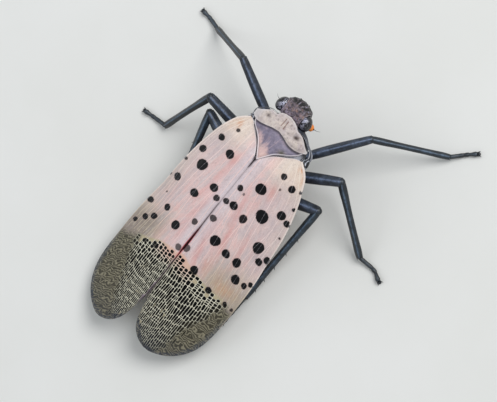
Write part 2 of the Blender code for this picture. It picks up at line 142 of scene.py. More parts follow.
# Thickness of the wings and plates
WING_SKIN, HINDWING_SKIN, PLATE_SKIN = 0.07, 0.05, 0.2
FAR = 9.0  # distance given where no spot is near
SLANT, SLANT_FROM = 0.17, 7  # the veins' drift outward over the distance along the body
CAMERA_LEAN = 0.21  # how the spots of the two wings are drawn out in the view from the camera
WING_END, NET_END = 24.95, 24.86


# Frames of reference

def stand(points):
    """Stance millimetres to metres of the frame."""
    return (np.asarray(points, float) - STANCE) * MM


def body(points):
    """Millimetres along the body's axis to metres of the frame."""
    p = np.array(points, float)
    y, z = p[..., 1] - PIVOT_Y, p[..., 2].copy()
    c, s = math.cos(PITCH), math.sin(PITCH)
    p[..., 1] = PIVOT_Y + c * y + s * z
    p[..., 2] = LIFT - s * y + c * z
    return stand(p)


def neck(points):
    """Head millimetres to metres of the frame."""
    return body(np.asarray(points, float) + NECK)


# Numbers

def ease(value, low, high):
    """0 up to low, 1 from high on, and smooth between them."""
    t = np.clip((np.asarray(value, float) - low) / (high - low), 0, 1)
    return t * t * (3 - 2 * t)


def ridge(distance, width, height=1.0):
    """Soft bell over a distance."""
    return height * np.exp(-(np.asarray(distance, float) / width) ** 2)


def span(value, low, full, end, fade):
    """Easing in from low to full, and out over the last stretch before the end."""
    return ease(value, low, full) * ease(end - value, 0, fade)


def dab(x, y, middle, width, height=1.0, kx=1.0, ky=1.0):
    """Soft round patch, squeezed along either way."""
    return ridge(np.hypot((x - middle[0]) * kx, (y - middle[1]) * ky), width, height)


def smooth(row, weights=(1, 2, 3, 2, 1)):
    kernel = np.array(weights) / sum(weights)
    return np.convolve(np.pad(row, len(weights) // 2, mode="edge"), kernel, "valid")


def speckle(points, scale, seed=0.0):
    """Smooth noise from -1 to 1 at each point of a grid."""
    points = np.asarray(points, float)
    q = points.reshape(-1, points.shape[-1]) * scale + seed
    i = np.floor(q)
    f = q - i
    f = f * f * (3 - 2 * f)
    total = 0
    for corner in range(2 ** q.shape[1]):
        bits = np.array([(corner >> k) & 1 for k in range(q.shape[1])])
        weight = np.prod(np.where(bits, f, 1 - f), axis=1)
        key = (i + bits) @ np.array([127.1, 311.7, 74.7][:q.shape[1]])
        total = total + weight * np.modf(np.abs(np.sin(key) * 43758.5453))[0]
    return (total * 2 - 1).reshape(points.shape[:-1])


def unit(vectors):
    vectors = np.asarray(vectors, float)
    return vectors / np.maximum(np.linalg.norm(vectors, axis=-1, keepdims=True), 1e-9)


def ways(ahead):
    """Forward, side and up directions where a limb runs ahead."""
    ahead = unit(ahead)
    side = unit(np.cross(ahead, (0, 0, 1.0)))
    return ahead, side, np.cross(side, ahead)


def spline(points, count):
    """Evenly spaced points on a smooth curve through the given ones."""
    p = np.asarray(points, float)
    p = np.vstack([p[0], p, p[-1]])
    t = np.linspace(0, 1, 16, endpoint=False)[:, None]
    parts = [0.5 * (2 * b + (c - a) * t + (2 * a - 5 * b + 4 * c - d) * t ** 2
                    + (3 * b - a - 3 * c + d) * t ** 3)
             for a, b, c, d in zip(p, p[1:], p[2:], p[3:])]
    fine = np.vstack(parts + [p[-1:]])
    run = np.concatenate([[0], np.cumsum(np.linalg.norm(np.diff(fine, axis=0), axis=1))])
    even = np.linspace(0, run[-1], count)
    return np.stack([np.interp(even, run, fine[:, k]) for k in range(p.shape[1])], axis=1)


# Meshes

def linked(name, data):
    """New object in the scene."""
    item = bpy.data.objects.new(name, data)
    bpy.context.scene.collection.objects.link(item)
    return item


class Shape:
    """Points in metres, faces, and numbers carried by the points."""

    def __init__(self):
        self.points, self.faces, self.marks, self.count = [], [], {}, 0

    def add(self, points, faces, **marks):
        points = np.asarray(points, float).reshape(-1, 3)
        self.points.append(points)
        self.faces += [[i + self.count for i in face] for face in faces]
        for name, values in marks.items():
            self.marks.setdefault(name, []).append((self.count, values))
        self.count += len(points)
        return self

    def grid(self, grid, wrap=False, caps=False, flip=False, **marks):
        """Faces over rows of points, closed round if wrap, with its ends filled if caps."""
        rows, columns = grid.shape[:2]
        faces = []
        for r in range(rows - 1):
            for c in range(columns if wrap else columns - 1):
                n = (c + 1) % columns
                faces.append([r * columns + c, r * columns + n, (r + 1) * columns + n,
                              (r + 1) * columns + c])
        if caps:
            faces.append(list(range(columns))[::-1])
            faces.append([(rows - 1) * columns + c for c in range(columns)])
        if flip:
            faces = [face[::-1] for face in faces]
        return self.add(grid, faces,
                        **{k: np.asarray(v, float).reshape(rows * columns, -1) for k, v in marks.items()})

    def make(self, name, paint, thick=0.0, stands_in=True):
        """Object that rides on the body, and stands in for the node of its name unless told otherwise."""
        mesh = bpy.data.meshes.new(name)
        mesh.from_pydata(np.vstack(self.points).tolist(), [], self.faces)
        for key, chunks in self.marks.items():
            width = np.asarray(chunks[0][1]).reshape(len(chunks[0][1]), -1).shape[1]
            data = np.zeros((self.count, width))
            for start, values in chunks:
                values = np.asarray(values, float).reshape(len(values), -1)
                data[start:start + len(values)] = values
            kind, field = ("FLOAT", "value") if width == 1 else ("FLOAT_VECTOR", "vector")
            mesh.attributes.new(key, kind, "POINT").data.foreach_set(field, data.ravel())
        mesh.shade_smooth()
        mesh.materials.append(paint)
        item = linked(name, mesh)
        if thick:
            solid = item.modifiers.new("thickness", "SOLIDIFY")
            solid.thickness, solid.offset = thick * MM, -1.0
        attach(item, "root")
        if stands_in:
            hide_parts(name)
        return item


def tube(shape, place, path, radii, sides=20, section=None, count=40, **marks):
    """Limb along a path, its section shaped by angle, with closed ends."""
    path = np.asarray(path, float)
    radii = np.asarray(radii, float)
    t = np.linspace(0, 1, count)
    centre = spline(path, count) if len(path) > 2 else path[0] + t[:, None] * (path[1] - path[0])
    radius = smooth(np.interp(t, np.linspace(0, 1, len(radii)), radii))
    _, side, up = ways(np.gradient(centre, axis=0))
    angle = np.linspace(0, 2 * math.pi, sides, endpoint=False)
    factor = section(angle)[None, :] if section else np.ones((1, sides))
    rim = (radius[:, None] * factor)[..., None]
    grid = centre[:, None] + rim * (np.cos(angle)[None, :, None] * side[:, None]
                                    + np.sin(angle)[None, :, None] * up[:, None])
    length = np.linalg.norm(path[-1] - path[0])
    along = np.broadcast_to((t * length)[:, None], (count, sides))
    extra = {k: np.full((count, sides), v) for k, v in marks.items()}
    crest = np.broadcast_to(np.clip(np.cos(4 * angle), 0, 1) ** 5, (count, sides))
    shape.grid(place(grid), wrap=True, caps=True, place=grid, along=along, crest=crest, **extra)
    return centre


def round_ball(rings, sides):
    """Points of a ball of radius 1, ring by ring."""
    a = np.linspace(0.02, math.pi - 0.02, rings)[:, None]
    b = np.linspace(0, 2 * math.pi, sides, endpoint=False)[None, :]
    return np.stack([np.sin(a) * np.cos(b), np.sin(a) * np.sin(b), np.cos(a) * np.ones_like(b)], -1)


def ball(shape, place, centre, radii, rings=16, sides=24, dent=0.0, **marks):
    """Egg, its surface roughened by a dent's depth."""
    sphere = round_ball(rings, sides)
    scale = 1 + dent * speckle(sphere, 5.0, 2.0)[..., None]
    grid = sphere * scale * np.asarray(radii) + np.asarray(centre)
    extra = {k: np.full((rings, sides), v) for k, v in marks.items()}
    shape.grid(place(grid), wrap=True, caps=True, flip=True, place=grid, unit=sphere, **extra)


def spike(shape, place, root, tip, radius, sides=5, bend=None, **marks):
    """Small curved cone."""
    root, tip = np.asarray(root, float), np.asarray(tip, float)
    mid = (root + tip) / 2 + (np.zeros(3) if bend is None else np.asarray(bend))
    tube(shape, place, (root, mid, tip), (radius, radius * 0.62, radius * 0.12), sides, count=6, **marks)


def turn_z(angle):
    c, s = math.cos(angle), math.sin(angle)
    return np.array([[c, -s, 0], [s, c, 0], [0, 0, 1.0]])


# Materials

def linear(rgb):
    """Colour from 0 to 255 as light amounts from 0 to 1."""
    return tuple((c / 255 / 12.92) if c <= 10 else ((c / 255 + 0.055) / 1.055) ** 2.4 for c in rgb)


def shade(rgb, factor):
    return tuple(min(int(c * factor), 255) for c in rgb)


class Paint:
    """Short hand for a material's nodes: colours from 0 to 255, and a name for what a mesh carries."""

    def __init__(self, name, rough=0.5, **sockets):
        self.mat = bpy.data.materials.new(name)
        self.mat.use_nodes = True
        self.tree = self.mat.node_tree
        self.shader = self.tree.nodes["Principled BSDF"]
        self.shader.inputs["Roughness"].default_value = rough
        for key, value in sockets.items():
            self.shader.inputs[key.replace("_", " ")].default_value = value

    def put(self, socket, value):
        if isinstance(value, str):
            value = self.node("ShaderNodeAttribute", attribute_name=value)
            value = value.outputs["Vector" if socket.type == "VECTOR" else "Fac"]
        if isinstance(value, bpy.types.NodeSocket):
            self.tree.links.new(value, socket)
        elif isinstance(value, tuple) and len(value) == 3 and socket.type == "RGBA":
            socket.default_value = (*linear(value), 1.0)
        else:
            socket.default_value = value

    def node(self, kind, inputs=(), **settings):
        made = self.tree.nodes.new(kind)
        for key, value in settings.items():
            setattr(made, key, value)
        for key, value in dict(inputs).items():
            self.put(made.inputs[key], value)
        return made

    def stretched(self, name, scale):
        return self.node("ShaderNodeMapping", {"Vector": name, "Scale": scale}).outputs[0]

    def noise(self, where, scale=1.0, detail=4.0, rough=0.55, warp=0.0):
        made = self.node("ShaderNodeTexNoise", {"Vector": where, "Scale": scale, "Detail": detail,
                                                "Roughness": rough, "Distortion": warp})
        return made.outputs["Fac"]

    def cells(self, where, scale=1.0, feature="F1"):
        made = self.node("ShaderNodeTexVoronoi", {"Vector": where, "Scale": scale}, feature=feature)
        return made.outputs["Distance"]

    def steps(self, value, low, high, out_low=0.0, out_high=1.0):
        made = self.node("ShaderNodeMapRange", {0: value, 1: low, 2: high, 3: out_low, 4: out_high},
                         interpolation_type="SMOOTHSTEP")
        return made.outputs[0]

    def sum(self, a, b=0.0, kind="ADD", clamp=False):
        made = self.node("ShaderNodeMath", {0: a, 1: b}, operation=kind, use_clamp=clamp)
        return made.outputs[0]

    def times(self, a, b):
        return self.sum(a, b, "MULTIPLY")

    def mix(self, amount, a, b):
        made = self.node("ShaderNodeMix", data_type="RGBA")
        self.put(made.inputs["Factor"], amount)
        self.put(made.inputs[6], a)
        self.put(made.inputs[7], b)
        return made.outputs[2]

    def two(self, value, a, b, low=0.35, high=0.65):
        """Two colours that mingle where a value passes from low to high."""
        return self.mix(self.steps(value, low, high), a, b)

    def coats(self, tone, layers):
        """Colours laid over a tone in turn, each by its own amount."""
        for amount, colour in layers:
            tone = self.mix(amount, tone, colour)
        return tone

    def normal_up(self, low=-0.2, high=0.9):
        """How far the surface looks up, from 0 to 1."""
        where = self.node("ShaderNodeNewGeometry").outputs["Normal"]
        return self.steps(self.node("ShaderNodeSeparateXYZ", {"Vector": where}).outputs[2], low, high)

    def waves(self, where, scale, warp, detail_scale):
        """Wavy bands; scale is 0.314 over the distance between two of them."""
        made = self.node("ShaderNodeTexWave",
                         {"Vector": where, "Scale": scale, "Distortion": warp, "Detail": 2.5,
                                               "Detail Scale": detail_scale, "Detail Roughness": 0.55},
                         wave_type="BANDS", bands_direction="X")
        return made.outputs["Fac"]

    def colour(self, value):
        self.put(self.shader.inputs["Base Color"], value)
        return self

    def rough(self, value):
        self.put(self.shader.inputs["Roughness"], value)
        return self

    def bump(self, height, distance, strength=1.0):
        made = self.node("ShaderNodeBump",
                         {"Height": height, "Distance": distance * MM, "Strength": strength})
        if self.shader.inputs["Normal"].links:
            self.put(made.inputs["Normal"], self.shader.inputs["Normal"].links[0].from_socket)
        self.put(self.shader.inputs["Normal"], made.outputs[0])
        return self


def wing_paint():
    p = Paint("wing_membrane", 0.55, Sheen_Weight=0.04, Sheen_Roughness=0.4, Specular_IOR_Level=0.22)
    streaks = p.noise(p.stretched("flow", (0.24, 1.5, 1.0)), 1.0, 5, 0.6, 0.5)
    threads = p.noise(p.stretched("flow", (0.8, 7.0, 1.0)), 1.0, 4, 0.65, 0.3)
    clouds = p.noise(p.stretched("flow", (0.38, 0.62, 1)), 1.0, 4, 0.6)
    puffs = p.noise(p.stretched("flow", (0.7, 1.3, 1)), 1.0, 5, 0.62, 0.6)
    grain = p.noise("place", 9.0, 5, 0.7)
    mottle = p.noise("place", 3.2, 4, 0.6)
    tone = p.two(clouds, (234, 213, 209), (220, 204, 202))
    tone = p.mix(p.steps(puffs, 0.35, 0.62, 0.6, 0.0), tone, (206, 186, 190))
    veil = p.times(p.steps(p.sum(streaks, p.steps(puffs, 0.25, 0.75, -0.2, 0.2)), 0.34, 0.72), "pink")
    tone = p.coats(tone, (
        (p.times(veil, 0.8), (236, 190, 186)),
        ("rose", p.two(mottle, (232, 168, 158), (214, 150, 148))),
        ("tan", p.two(clouds, (198, 184, 156), (182, 172, 158))),
        # Grey zone before the net; its much stronger share on the left wing is painted shade on that wing's
        # outer side
        ("smoke_and_shade", p.two(mottle, (136, 124, 116), (160, 148, 138))),
        ("cream", p.two(puffs, (242, 228, 212), (234, 216, 198))),
        (p.times("lilac", p.steps(puffs, 0.3, 0.7, 0.55, 1.0)), (216, 208, 216)),
        (p.times("ochre", p.steps(puffs, 0.3, 0.6, 0.35, 1.0)), (222, 158, 112)),
        (p.steps(threads, 0.52, 0.74, 0.0, 0.45), (246, 234, 230)),
        (p.steps(threads, 0.27, 0.47, 0.3, 0.0), (178, 146, 144)),
        (p.steps(mottle, 0.3, 0.5, 0.26, 0.0), (164, 148, 144)),
        (p.steps(grain, 0.3, 0.6, 0.24, 0.0), (150, 130, 126)),
        ("edge", (232, 226, 230))))
    swirl = p.node("ShaderNodeTexNoise", {"Vector": "worm", "Scale": 1.45, "Detail": 1.5})
    turned = p.node("ShaderNodeVectorMath", {0: swirl.outputs["Color"], 1: (1.35, 1.35, 0.0)},
                    operation="MULTIPLY")
    bent = p.node("ShaderNodeVectorMath", {0: "worm", 1: turned.outputs[0]}, operation="ADD").outputs[0]
    ripple = p.waves(bent, 1.16, 1.3, 2.6)
    worn = p.mix(p.steps(ripple, 0.2, 1.0), p.two(mottle, (58, 55, 44), (78, 74, 59), 0.3, 0.7),
                 p.two(mottle, (122, 117, 98), (152, 145, 122), 0.3, 0.7))
    clear = p.mix("blush", p.two(mottle, (196, 184, 152), (176, 164, 136)), (228, 186, 168))
    net_tone = p.mix(p.steps("fade", 0.08, 0.45), clear, worn)
    small = p.steps(p.cells(p.stretched("place", (3.6, 6.0, 1)), 1.0, "DISTANCE_TO_EDGE"), 0.08, 0.2)
    net_tone = p.mix("hem", net_tone, p.mix(small, (156, 152, 136), (38, 37, 36)))
    net = p.sum("net", p.steps(mottle, 0.25, 0.75, -0.1, 0.1), clamp=True)
    tone = p.mix(net, tone, net_tone)
    rays = p.noise(p.stretched("place", (3.0, 9.0, 1)), 1.0, 3, 0.6)
    rim = p.times("rim", p.steps(p.sum(ripple, rays), 0.6, 1.3, 1.0, 0.5))
    tone = p.coats(tone, (
        (rim, p.two(mottle, (56, 59, 66), (78, 82, 90))),
        ("band", p.two(mottle, (134, 118, 132), (168, 152, 162))),
        ("slit", (206, 66, 76)),
        # Dark line along the inner edge: partly the margin's own brown-purple, partly painted shade where
        # the forewings meet each other and the plates
        ("seam", p.two(mottle, (46, 34, 40), (84, 68, 76), 0.4, 0.6))))
    spot = p.sum("spot", p.steps(p.noise("place", 4.0, 2), 0.25, 0.75, -0.02, 0.02))
    ink = p.times(p.steps(spot, 0.025, -0.025), "ink")
    halo = p.steps(spot, 0.13, 0.0, 0.0, 0.2)
    tone = p.coats(tone, (
        (halo, (176, 140, 134)),
        (ink, p.two(grain, (3, 3, 5), (12, 12, 17), 0.35, 0.8))))
    p.colour(tone)
    p.rough(p.steps(grain, 0.2, 0.8, 0.5, 0.68))
    p.bump(p.times(ripple, p.times("fade", "net")), 0.03, 0.9)
    p.bump(streaks, 0.05, 0.5)
    p.bump(p.cells(p.stretched("flow", (2.4, 6.5, 1)), 1.0, "DISTANCE_TO_EDGE"), 0.012, 0.7)
    return p.bump(grain, 0.012, 0.6).mat


def vein_paint():
    p = Paint("wing_vein", 0.5, Sheen_Weight=0.04, Specular_IOR_Level=0.25)
    grain = p.noise("place", 6.0, 4)
    tone = p.two(grain, (232, 216, 212), (242, 228, 224), 0.3, 0.7)
    tone = p.coats(tone, (
        (p.times("pink", 0.75), (242, 204, 198)),
        ("tan", (200, 187, 162)),
        ("cream", (240, 226, 210)),
        ("edge", (230, 226, 232)),
        ("over", p.two(grain, (60, 58, 62), (120, 116, 120), 0.4, 0.6))))
    return p.colour(tone).bump(grain, 0.01, 0.5).mat


def net_paint():
    p = Paint("wing_net", 0.6, Specular_IOR_Level=0.12)
    grain = p.noise("place", 7.0, 4, 0.65)
    wave = p.noise(p.stretched("place", (1.2, 2.2, 1)), 1.4, 3, 0.6, 0.8)
    pale = p.two(grain, (222, 217, 194), (240, 236, 216), 0.3, 0.7)
    pale = p.mix("rose", pale, (238, 196, 180))
    worn = p.two(wave, (110, 105, 88), (140, 134, 112))
    pale = p.mix("fade", pale, worn)
    cell = p.mix("tint", (3, 3, 4), (16, 15, 13))
    cell = p.mix("fade", cell, p.two(wave, (38, 36, 29), (70, 66, 52)))
    tone = p.mix(p.steps("floor", 0.35, 0.65), pale, cell)
    tone = p.coats(tone, (
        (p.times(p.steps("spot", 0.04, -0.04), 0.85), (8, 8, 10)),
        ("rim", p.two(grain, (52, 54, 60), (72, 75, 82)))))
    p.colour(tone)
    return p.bump(grain, 0.01, 0.5).mat


def shell_paint(name, light, dark, wax, rough=0.5, *, wax_low=0.55, wax_high=0.75, grain_size=5.0, extra):
    """Dull shell with blotches, wax on its upper side and a fine pitted grain."""
    p = Paint(name, rough)
    blotch = p.noise("place", 1.3, 5, 0.6, 0.4)
    grain = p.noise("place", grain_size, 6, 0.7)
    pits = p.cells("place", grain_size * 2.4)
    tone = p.mix(p.steps(blotch, 0.35, 0.68), light, dark)
    tone = p.mix(p.steps(grain, 0.3, 0.5, 0.5, 0.0), tone, shade(dark, 0.55))
    tone = extra(p, tone)
    dust = p.times(p.steps(grain, wax_low, wax_high), p.normal_up())
    tone = p.mix(p.times(dust, 0.75), tone, wax)
    p.colour(tone)
    p.rough(p.steps(grain, 0.25, 0.75, rough - 0.12, rough + 0.15))
    p.bump(pits, 0.02, 0.35)
    return p.bump(grain, 0.035, 0.6).mat


# Forewings

def margin(table, y):
    """Arc of a wing's edge at a distance along the body."""
    return np.interp(y, table[:, 0], table[:, 1])


def roof(y, arc, side, depth=0.0):
    """Body millimetres of a place on a wing: along the body, arc from the seam, depth below."""
    sign, stretch, swing = SIDES[side]
    y, arc, depth = np.broadcast_arrays(*(np.asarray(v, float) for v in (y, arc, depth)))
    radius = np.interp(y, *CURVE)
    arc = arc + np.interp(y, SWING_Y, (0, swing))
    turn = SLOPE + arc / radius
    x = radius * (np.sin(turn) - math.sin(SLOPE)) - depth * np.sin(turn)
    drop = radius * (math.cos(SLOPE) - np.cos(turn)) + depth * np.cos(turn)
    y = STRETCH_FROM + (y - STRETCH_FROM) * stretch
    return np.stack([sign * x, y, np.interp(y, RIDGE_Y, RIDGE_Z) - drop], -1)


def seen(y, arc, side):
    """Where a place on a wing lies as measured: along the body, and arc from the seam."""
    _, stretch, swing = SIDES[side]
    return STRETCH_FROM + (y - STRETCH_FROM) * stretch, arc + np.interp(y, SWING_Y, (0, swing))


def wing_spots(sy, su, side):
    """Distance from the rim of the nearest spot, less than 0 within it, and how black that spot is."""
    lean = CAMERA_LEAN if side == "left" else -CAMERA_LEAN
    spot, ink = np.full(sy.shape, FAR), np.zeros(sy.shape)
    for cy, cu, r, dark in SPOTS[side]:
        slope = SLOPE + cu / float(np.interp(cy, *CURVE))
        squeeze = math.cos(slope) - lean * math.sin(slope)
        along, across = sy - cy - 0.225 * math.sin(slope) * (su - cu), (su - cu) * squeeze
        a = np.arctan2(across, along)
        lump = 1 + 0.045 * np.sin(2 * a + cy * 3 + cu) + 0.022 * np.sin(3 * a + cy * 5)
        d = np.hypot(along, across) - (r * 1.03 + 0.012) * lump
        ink = np.where(d < spot, min(dark ** 0.4, 1.0), ink)
        spot = np.minimum(spot, d)
    return spot, ink


def worn(sy, su, side):
    """How worn the net is, from 0 to 1."""
    return ease(su - np.interp(sy, *NET_FADE[side]), -0.9, 1.0)


def wing_marks(y, arc, side):
    """Numbers that paint a forewing, at each place."""
    sy, su = seen(y, arc, side)
    inner, outer = margin(INNER, y), margin(OUTER, y)
    edge = np.minimum(np.minimum(arc - inner, outer - arc), (WING_END - y) * 1.2)
    front = np.interp(su, *NET_FRONT[side])
    fade = worn(sy, su, side)
    past = sy - front
    left = side == "left"
    spot, ink = wing_spots(sy, su, side)
    share = (arc - inner) / np.maximum(outer - inner, 0.1)
    slant = su - SLANT * (sy - SLANT_FROM)
    rose = 0 * sy
    for cy, cu, long, wide, much in ROSE[side]:
        across = (slant - cu + SLANT * (cy - SLANT_FROM)) / wide
        rose = np.maximum(rose, ridge(np.hypot((sy - cy) / long, across), 1.0, much))
    return {
        "place": np.stack([sy, su, np.zeros_like(sy)], -1),
        "flow": np.stack([sy, slant + (20 if left else 0), np.zeros_like(sy)], -1),
        "worm": np.stack([sy - (0.5 if left else 0.1) * su, su, np.zeros_like(sy)], -1),
        "hem": ease(0.42 - edge, 0, 0.3) * ease(y, 17.6, 19.6),
        "past": past,
        "net": (1 - fade) * ease(past, -0.12, 0.12) + fade * ease(past, -0.2, 0.9),
        "fade": fade,
        "blush": ease(1.9 - past, 0, 1.6) * ease(2.8 - su, 0, 2.0) * 0.9,
        "rim": np.maximum(ease(0.72 + 0.18 * ease(y, 22.0, 24.6) - edge
                               - 0.9 * ease(23.6 - y, 0, 1.2) * ease(0.5 - share, -0.1, 0.1), 0.0, 0.6)
                          * ease(y, 18.0, 20.5) * 0.95, 0.4 * ease(y, 21.6, 24.6)),
        "band": (ridge(arc - inner - 0.1, 0.26, 0.9) * span(y, 15.7, 16.7, 21.8, 1.2) if left else 0 * y),
        # Dark line along the inner edge: partly the margin's own brown-purple, partly painted shade where
        # the forewings meet each other and the plates
        "seam": np.clip(ridge(arc - inner, 0.075) * (span(y, 15.9, 16.6, 22.0, 1.2) * 0.95
                                                     + span(y, 5.2, 5.45, 6.6, 0.3) * 0.9
                                                     + 0.35 * span(y, 6.3, 6.6, 10.5, 0.8)
                                                     + 0.8 * span(y, 9.8, 10.6, 14.6, 1.2)), 0, 0.95),
        "slit": np.clip(ridge(arc - inner, 0.05) * span(y, 12.6, 13.6, 16.5, 0.5), 0, 1) * 0.9,
        "pink": np.clip((0.34 + 0.66 * ridge(slant - 1.3, 1.5) + 0.3 * ease(sy, 9, 13))
                        * (1 - 0.6 * ease(share, 0.7, 1.0)), 0, 1),
        "rose": rose,
        "cream": np.clip(0.22 * ease(share, 0.72, 1.0) * ease(15 - y, 0, 6)
                         + 0.8 * ease(7.4 - sy, 0, 3.0) * ease(su, 0.4, 2.6), 0, 0.9),
        "lilac": np.clip(ridge(su - 0.1, 0.85, 0.8) * span(y, 4.0, 5.5, 17, 3.5), 0, 1),
        "ochre": dab(sy, su, (4.45, 3.4) if left else (3.95, 3.6), 0.34, ky=1.2)
        + dab(sy, su, (4.6, 4.2), 0.5, 0.35, 0.75, 1.1)
        + (0.0 if left else dab(sy, su, (16.1, 4.9), 0.7, 0.45, ky=0.55)),
        "tan": np.clip(ease(past, -4.4, -0.3) * ease(su, 1.2, 4.2) * 0.9
                       + (0.3 * ease(share, 0.5, 1.0) * ease(sy, 8, 12) if left else 0), 0, 0.92),
        # Grey zone before the net; its much stronger share on the left wing (0.9 against 0.25) is painted
        # shade on that wing's outer side
        "smoke_and_shade": ease(past, -3.4, -0.9) * ease(su, 2.2, 4.4) * (0.9 if left else 0.25),
        "edge": ridge(arc - inner - 0.05, 0.04) * ease(5.6 - y, 0, 0.4) * 0.6,
        "spot": spot, "ink": ink}


def wing_relief(y, arc, side):
    """Depth of the shallow waves between the veins."""
    sy, su = seen(y, arc, side)
    slant = su - 0.15 * (sy - 7)
    fore = ease(17.5 - y, 0, 3)
    wave = np.sin(slant * 2 * math.pi / 0.92) * 0.016 * fore
    slow = speckle(np.stack([sy, su], -1), 0.55, 3.0) * 0.06
    fold = ridge(su - 1.12 + 0.015 * (sy - 10), 0.16, 0.05) * fore
    groove = ridge(arc - margin(INNER, y), 0.1, 0.04) * ease(y, 6.2, 6.8) * fore
    return (wave + slow) * ease(margin(OUTER, y) - arc, 0, 0.5) + fold + groove


def lay(points, side, height):
    """Places on a wing lifted off its surface by a height."""
    y, arc = points[..., 0], points[..., 1]
    return roof(y, arc, side, wing_relief(y, arc, side) - height)


def forewing(side, paint):
    """Leathery membrane from edge to edge, with rows a little closer in its middle than along its edges."""
    a, b = spline(INNER, 290), spline(OUTER, 290)
    share = np.linspace(0, 1, 92)
    share = share + 0.012 * np.sin(2 * math.pi * share)
    grid = a[:, None] + share[None, :, None] * (b - a)[:, None]
    y, arc = grid[..., 0], grid[..., 1]
    shape = Shape()
    shape.grid(body(lay(grid, side, 0.0)), flip=side == "right", **wing_marks(y, arc, side))
    return shape.make("forewing_" + side, paint, thick=WING_SKIN)


def ribbon(shape, path, side, width, height, **marks):
    """Raised vein along a path on a wing, half round in section."""
    path = np.asarray(path, float)
    n = len(path)
    ahead = unit(np.gradient(path, axis=0))
    across = np.stack([-ahead[:, 1], ahead[:, 0]], 1)
    offsets, heights = (-1, -0.7, 0, 0.7, 1), (-0.25, 0.62, 1, 0.62, -0.25)
    grid = path[:, None] + np.array(offsets)[None, :, None] * (across * width[:, None])[:, None]
    lift = height[:, None] * np.array(heights)[None]
    points = lay(grid, side, lift)
    extra = {k: np.broadcast_to(np.asarray(v, float).reshape(-1, 1), (n, 5)) for k, v in marks.items()}
    shape.grid(body(points), flip=side == "right",
               place=np.concatenate([grid, np.zeros((n, 5, 1))], -1), **extra)


def forewing_veins(side, paint):
    """Branching veins, the thick outer edge, and the thin pale edge beside the rear plate."""
    shape = Shape()
    for points in VEINS:
        path = spline(points, int((points[-1][0] - points[0][0]) * 9))
        marks = wing_marks(path[:, 0], path[:, 1], side)
        over = ease(-marks["spot"], -0.02, 0.02)
        t = np.linspace(0, 1, len(path))
        width = 0.04 - 0.014 * t - 0.014 * over
        height = 0.024 * ease(t, 0, 0.06) * ease(1 - t, -0.3, 0.08)
        ribbon(shape, path, side, width, height, over=over,
               **{k: marks[k] for k in ("pink", "tan", "cream", "edge")})
    edge = spline(OUTER, 190)
    edge = edge[edge[:, 0] < 19.5]
    edge[:, 1] -= 0.05
    marks = wing_marks(edge[:, 0], edge[:, 1], side)
    t = np.linspace(0, 1, len(edge))
    over = np.maximum(ease(-marks["spot"], -0.02, 0.02), ease(t, 0.75, 1.0) * 0.6)
    ribbon(shape, edge, side, 0.1 - 0.06 * t, 0.08 - 0.06 * t, over=over, tan=marks["tan"],
           cream=0.5 * (1 - t))
    seam = spline(INNER, 260)
    seam = seam[seam[:, 0] < 5.5]
    seam[:, 1] += 0.045
    t = np.linspace(0, 1, len(seam))
    ribbon(shape, seam, side, 0.022 - 0.006 * t, 0.02 * (1 - t) + 0.008, edge=0.6 + 0 * t)
    return shape.make("forewing_veins_" + side, paint, stands_in=False)


STRAND = 0.76  # width of one bundle of lines of the net
CELL_SIDES, SQUARENESS, CELL_FLOOR = 16, 4.5, 0.006


def net_stages(strand, side):
    """Where a bundle of the net splits into more lines: (start, lines, strip that splits)."""
    u = (strand + 0.5) * STRAND
    front = float(np.interp(u, *NET_FRONT[side]))
    fine = 0.5 if side == "left" else 1.0
    stages = [(14.9, 2, None)]
    stages.append((front + fine + 0.2 + RNG.uniform(-0.35, 0.35), 3, int(RNG.integers(0, 2))))
    if u < 4.2:
        stages.append((front + 2.2 * fine + 0.45 * u + RNG.uniform(-0.3, 0.3), 4, int(RNG.integers(0, 3))))
    if u < 2.4:
        stages.append((front + 4.6 * fine + 0.6 * u + RNG.uniform(-0.3, 0.3), 5, int(RNG.integers(0, 4))))
    return stages


def net_line(stages, stage, index, y):
    """Share of a bundle's width at which a line of it runs, easing apart after each split."""
    start, count, split = stages[stage]
    to = index / count
    if stage == 0:
        return to + 0 * y
    if index == split + 1:
        come = (split + 0.5) / (count - 1)
    else:
        come = (index if index <= split else index - 1) / (count - 1)
    return come + (to - come) * ease(y, start, start + 0.9)


def net_cells(side):
    """Corners of every cell of the netted tip, with its share of fading."""
    result = []
    for strand in range(-1, 11):
        stages = net_stages(strand, side)
        for stage, (start, count, _) in enumerate(stages):
            end = stages[stage + 1][0] if stage + 1 < len(stages) else 25.0
            for strip in range(count):
                result += net_strip(stages, stage, strip, strand, start, end, side)
    return result


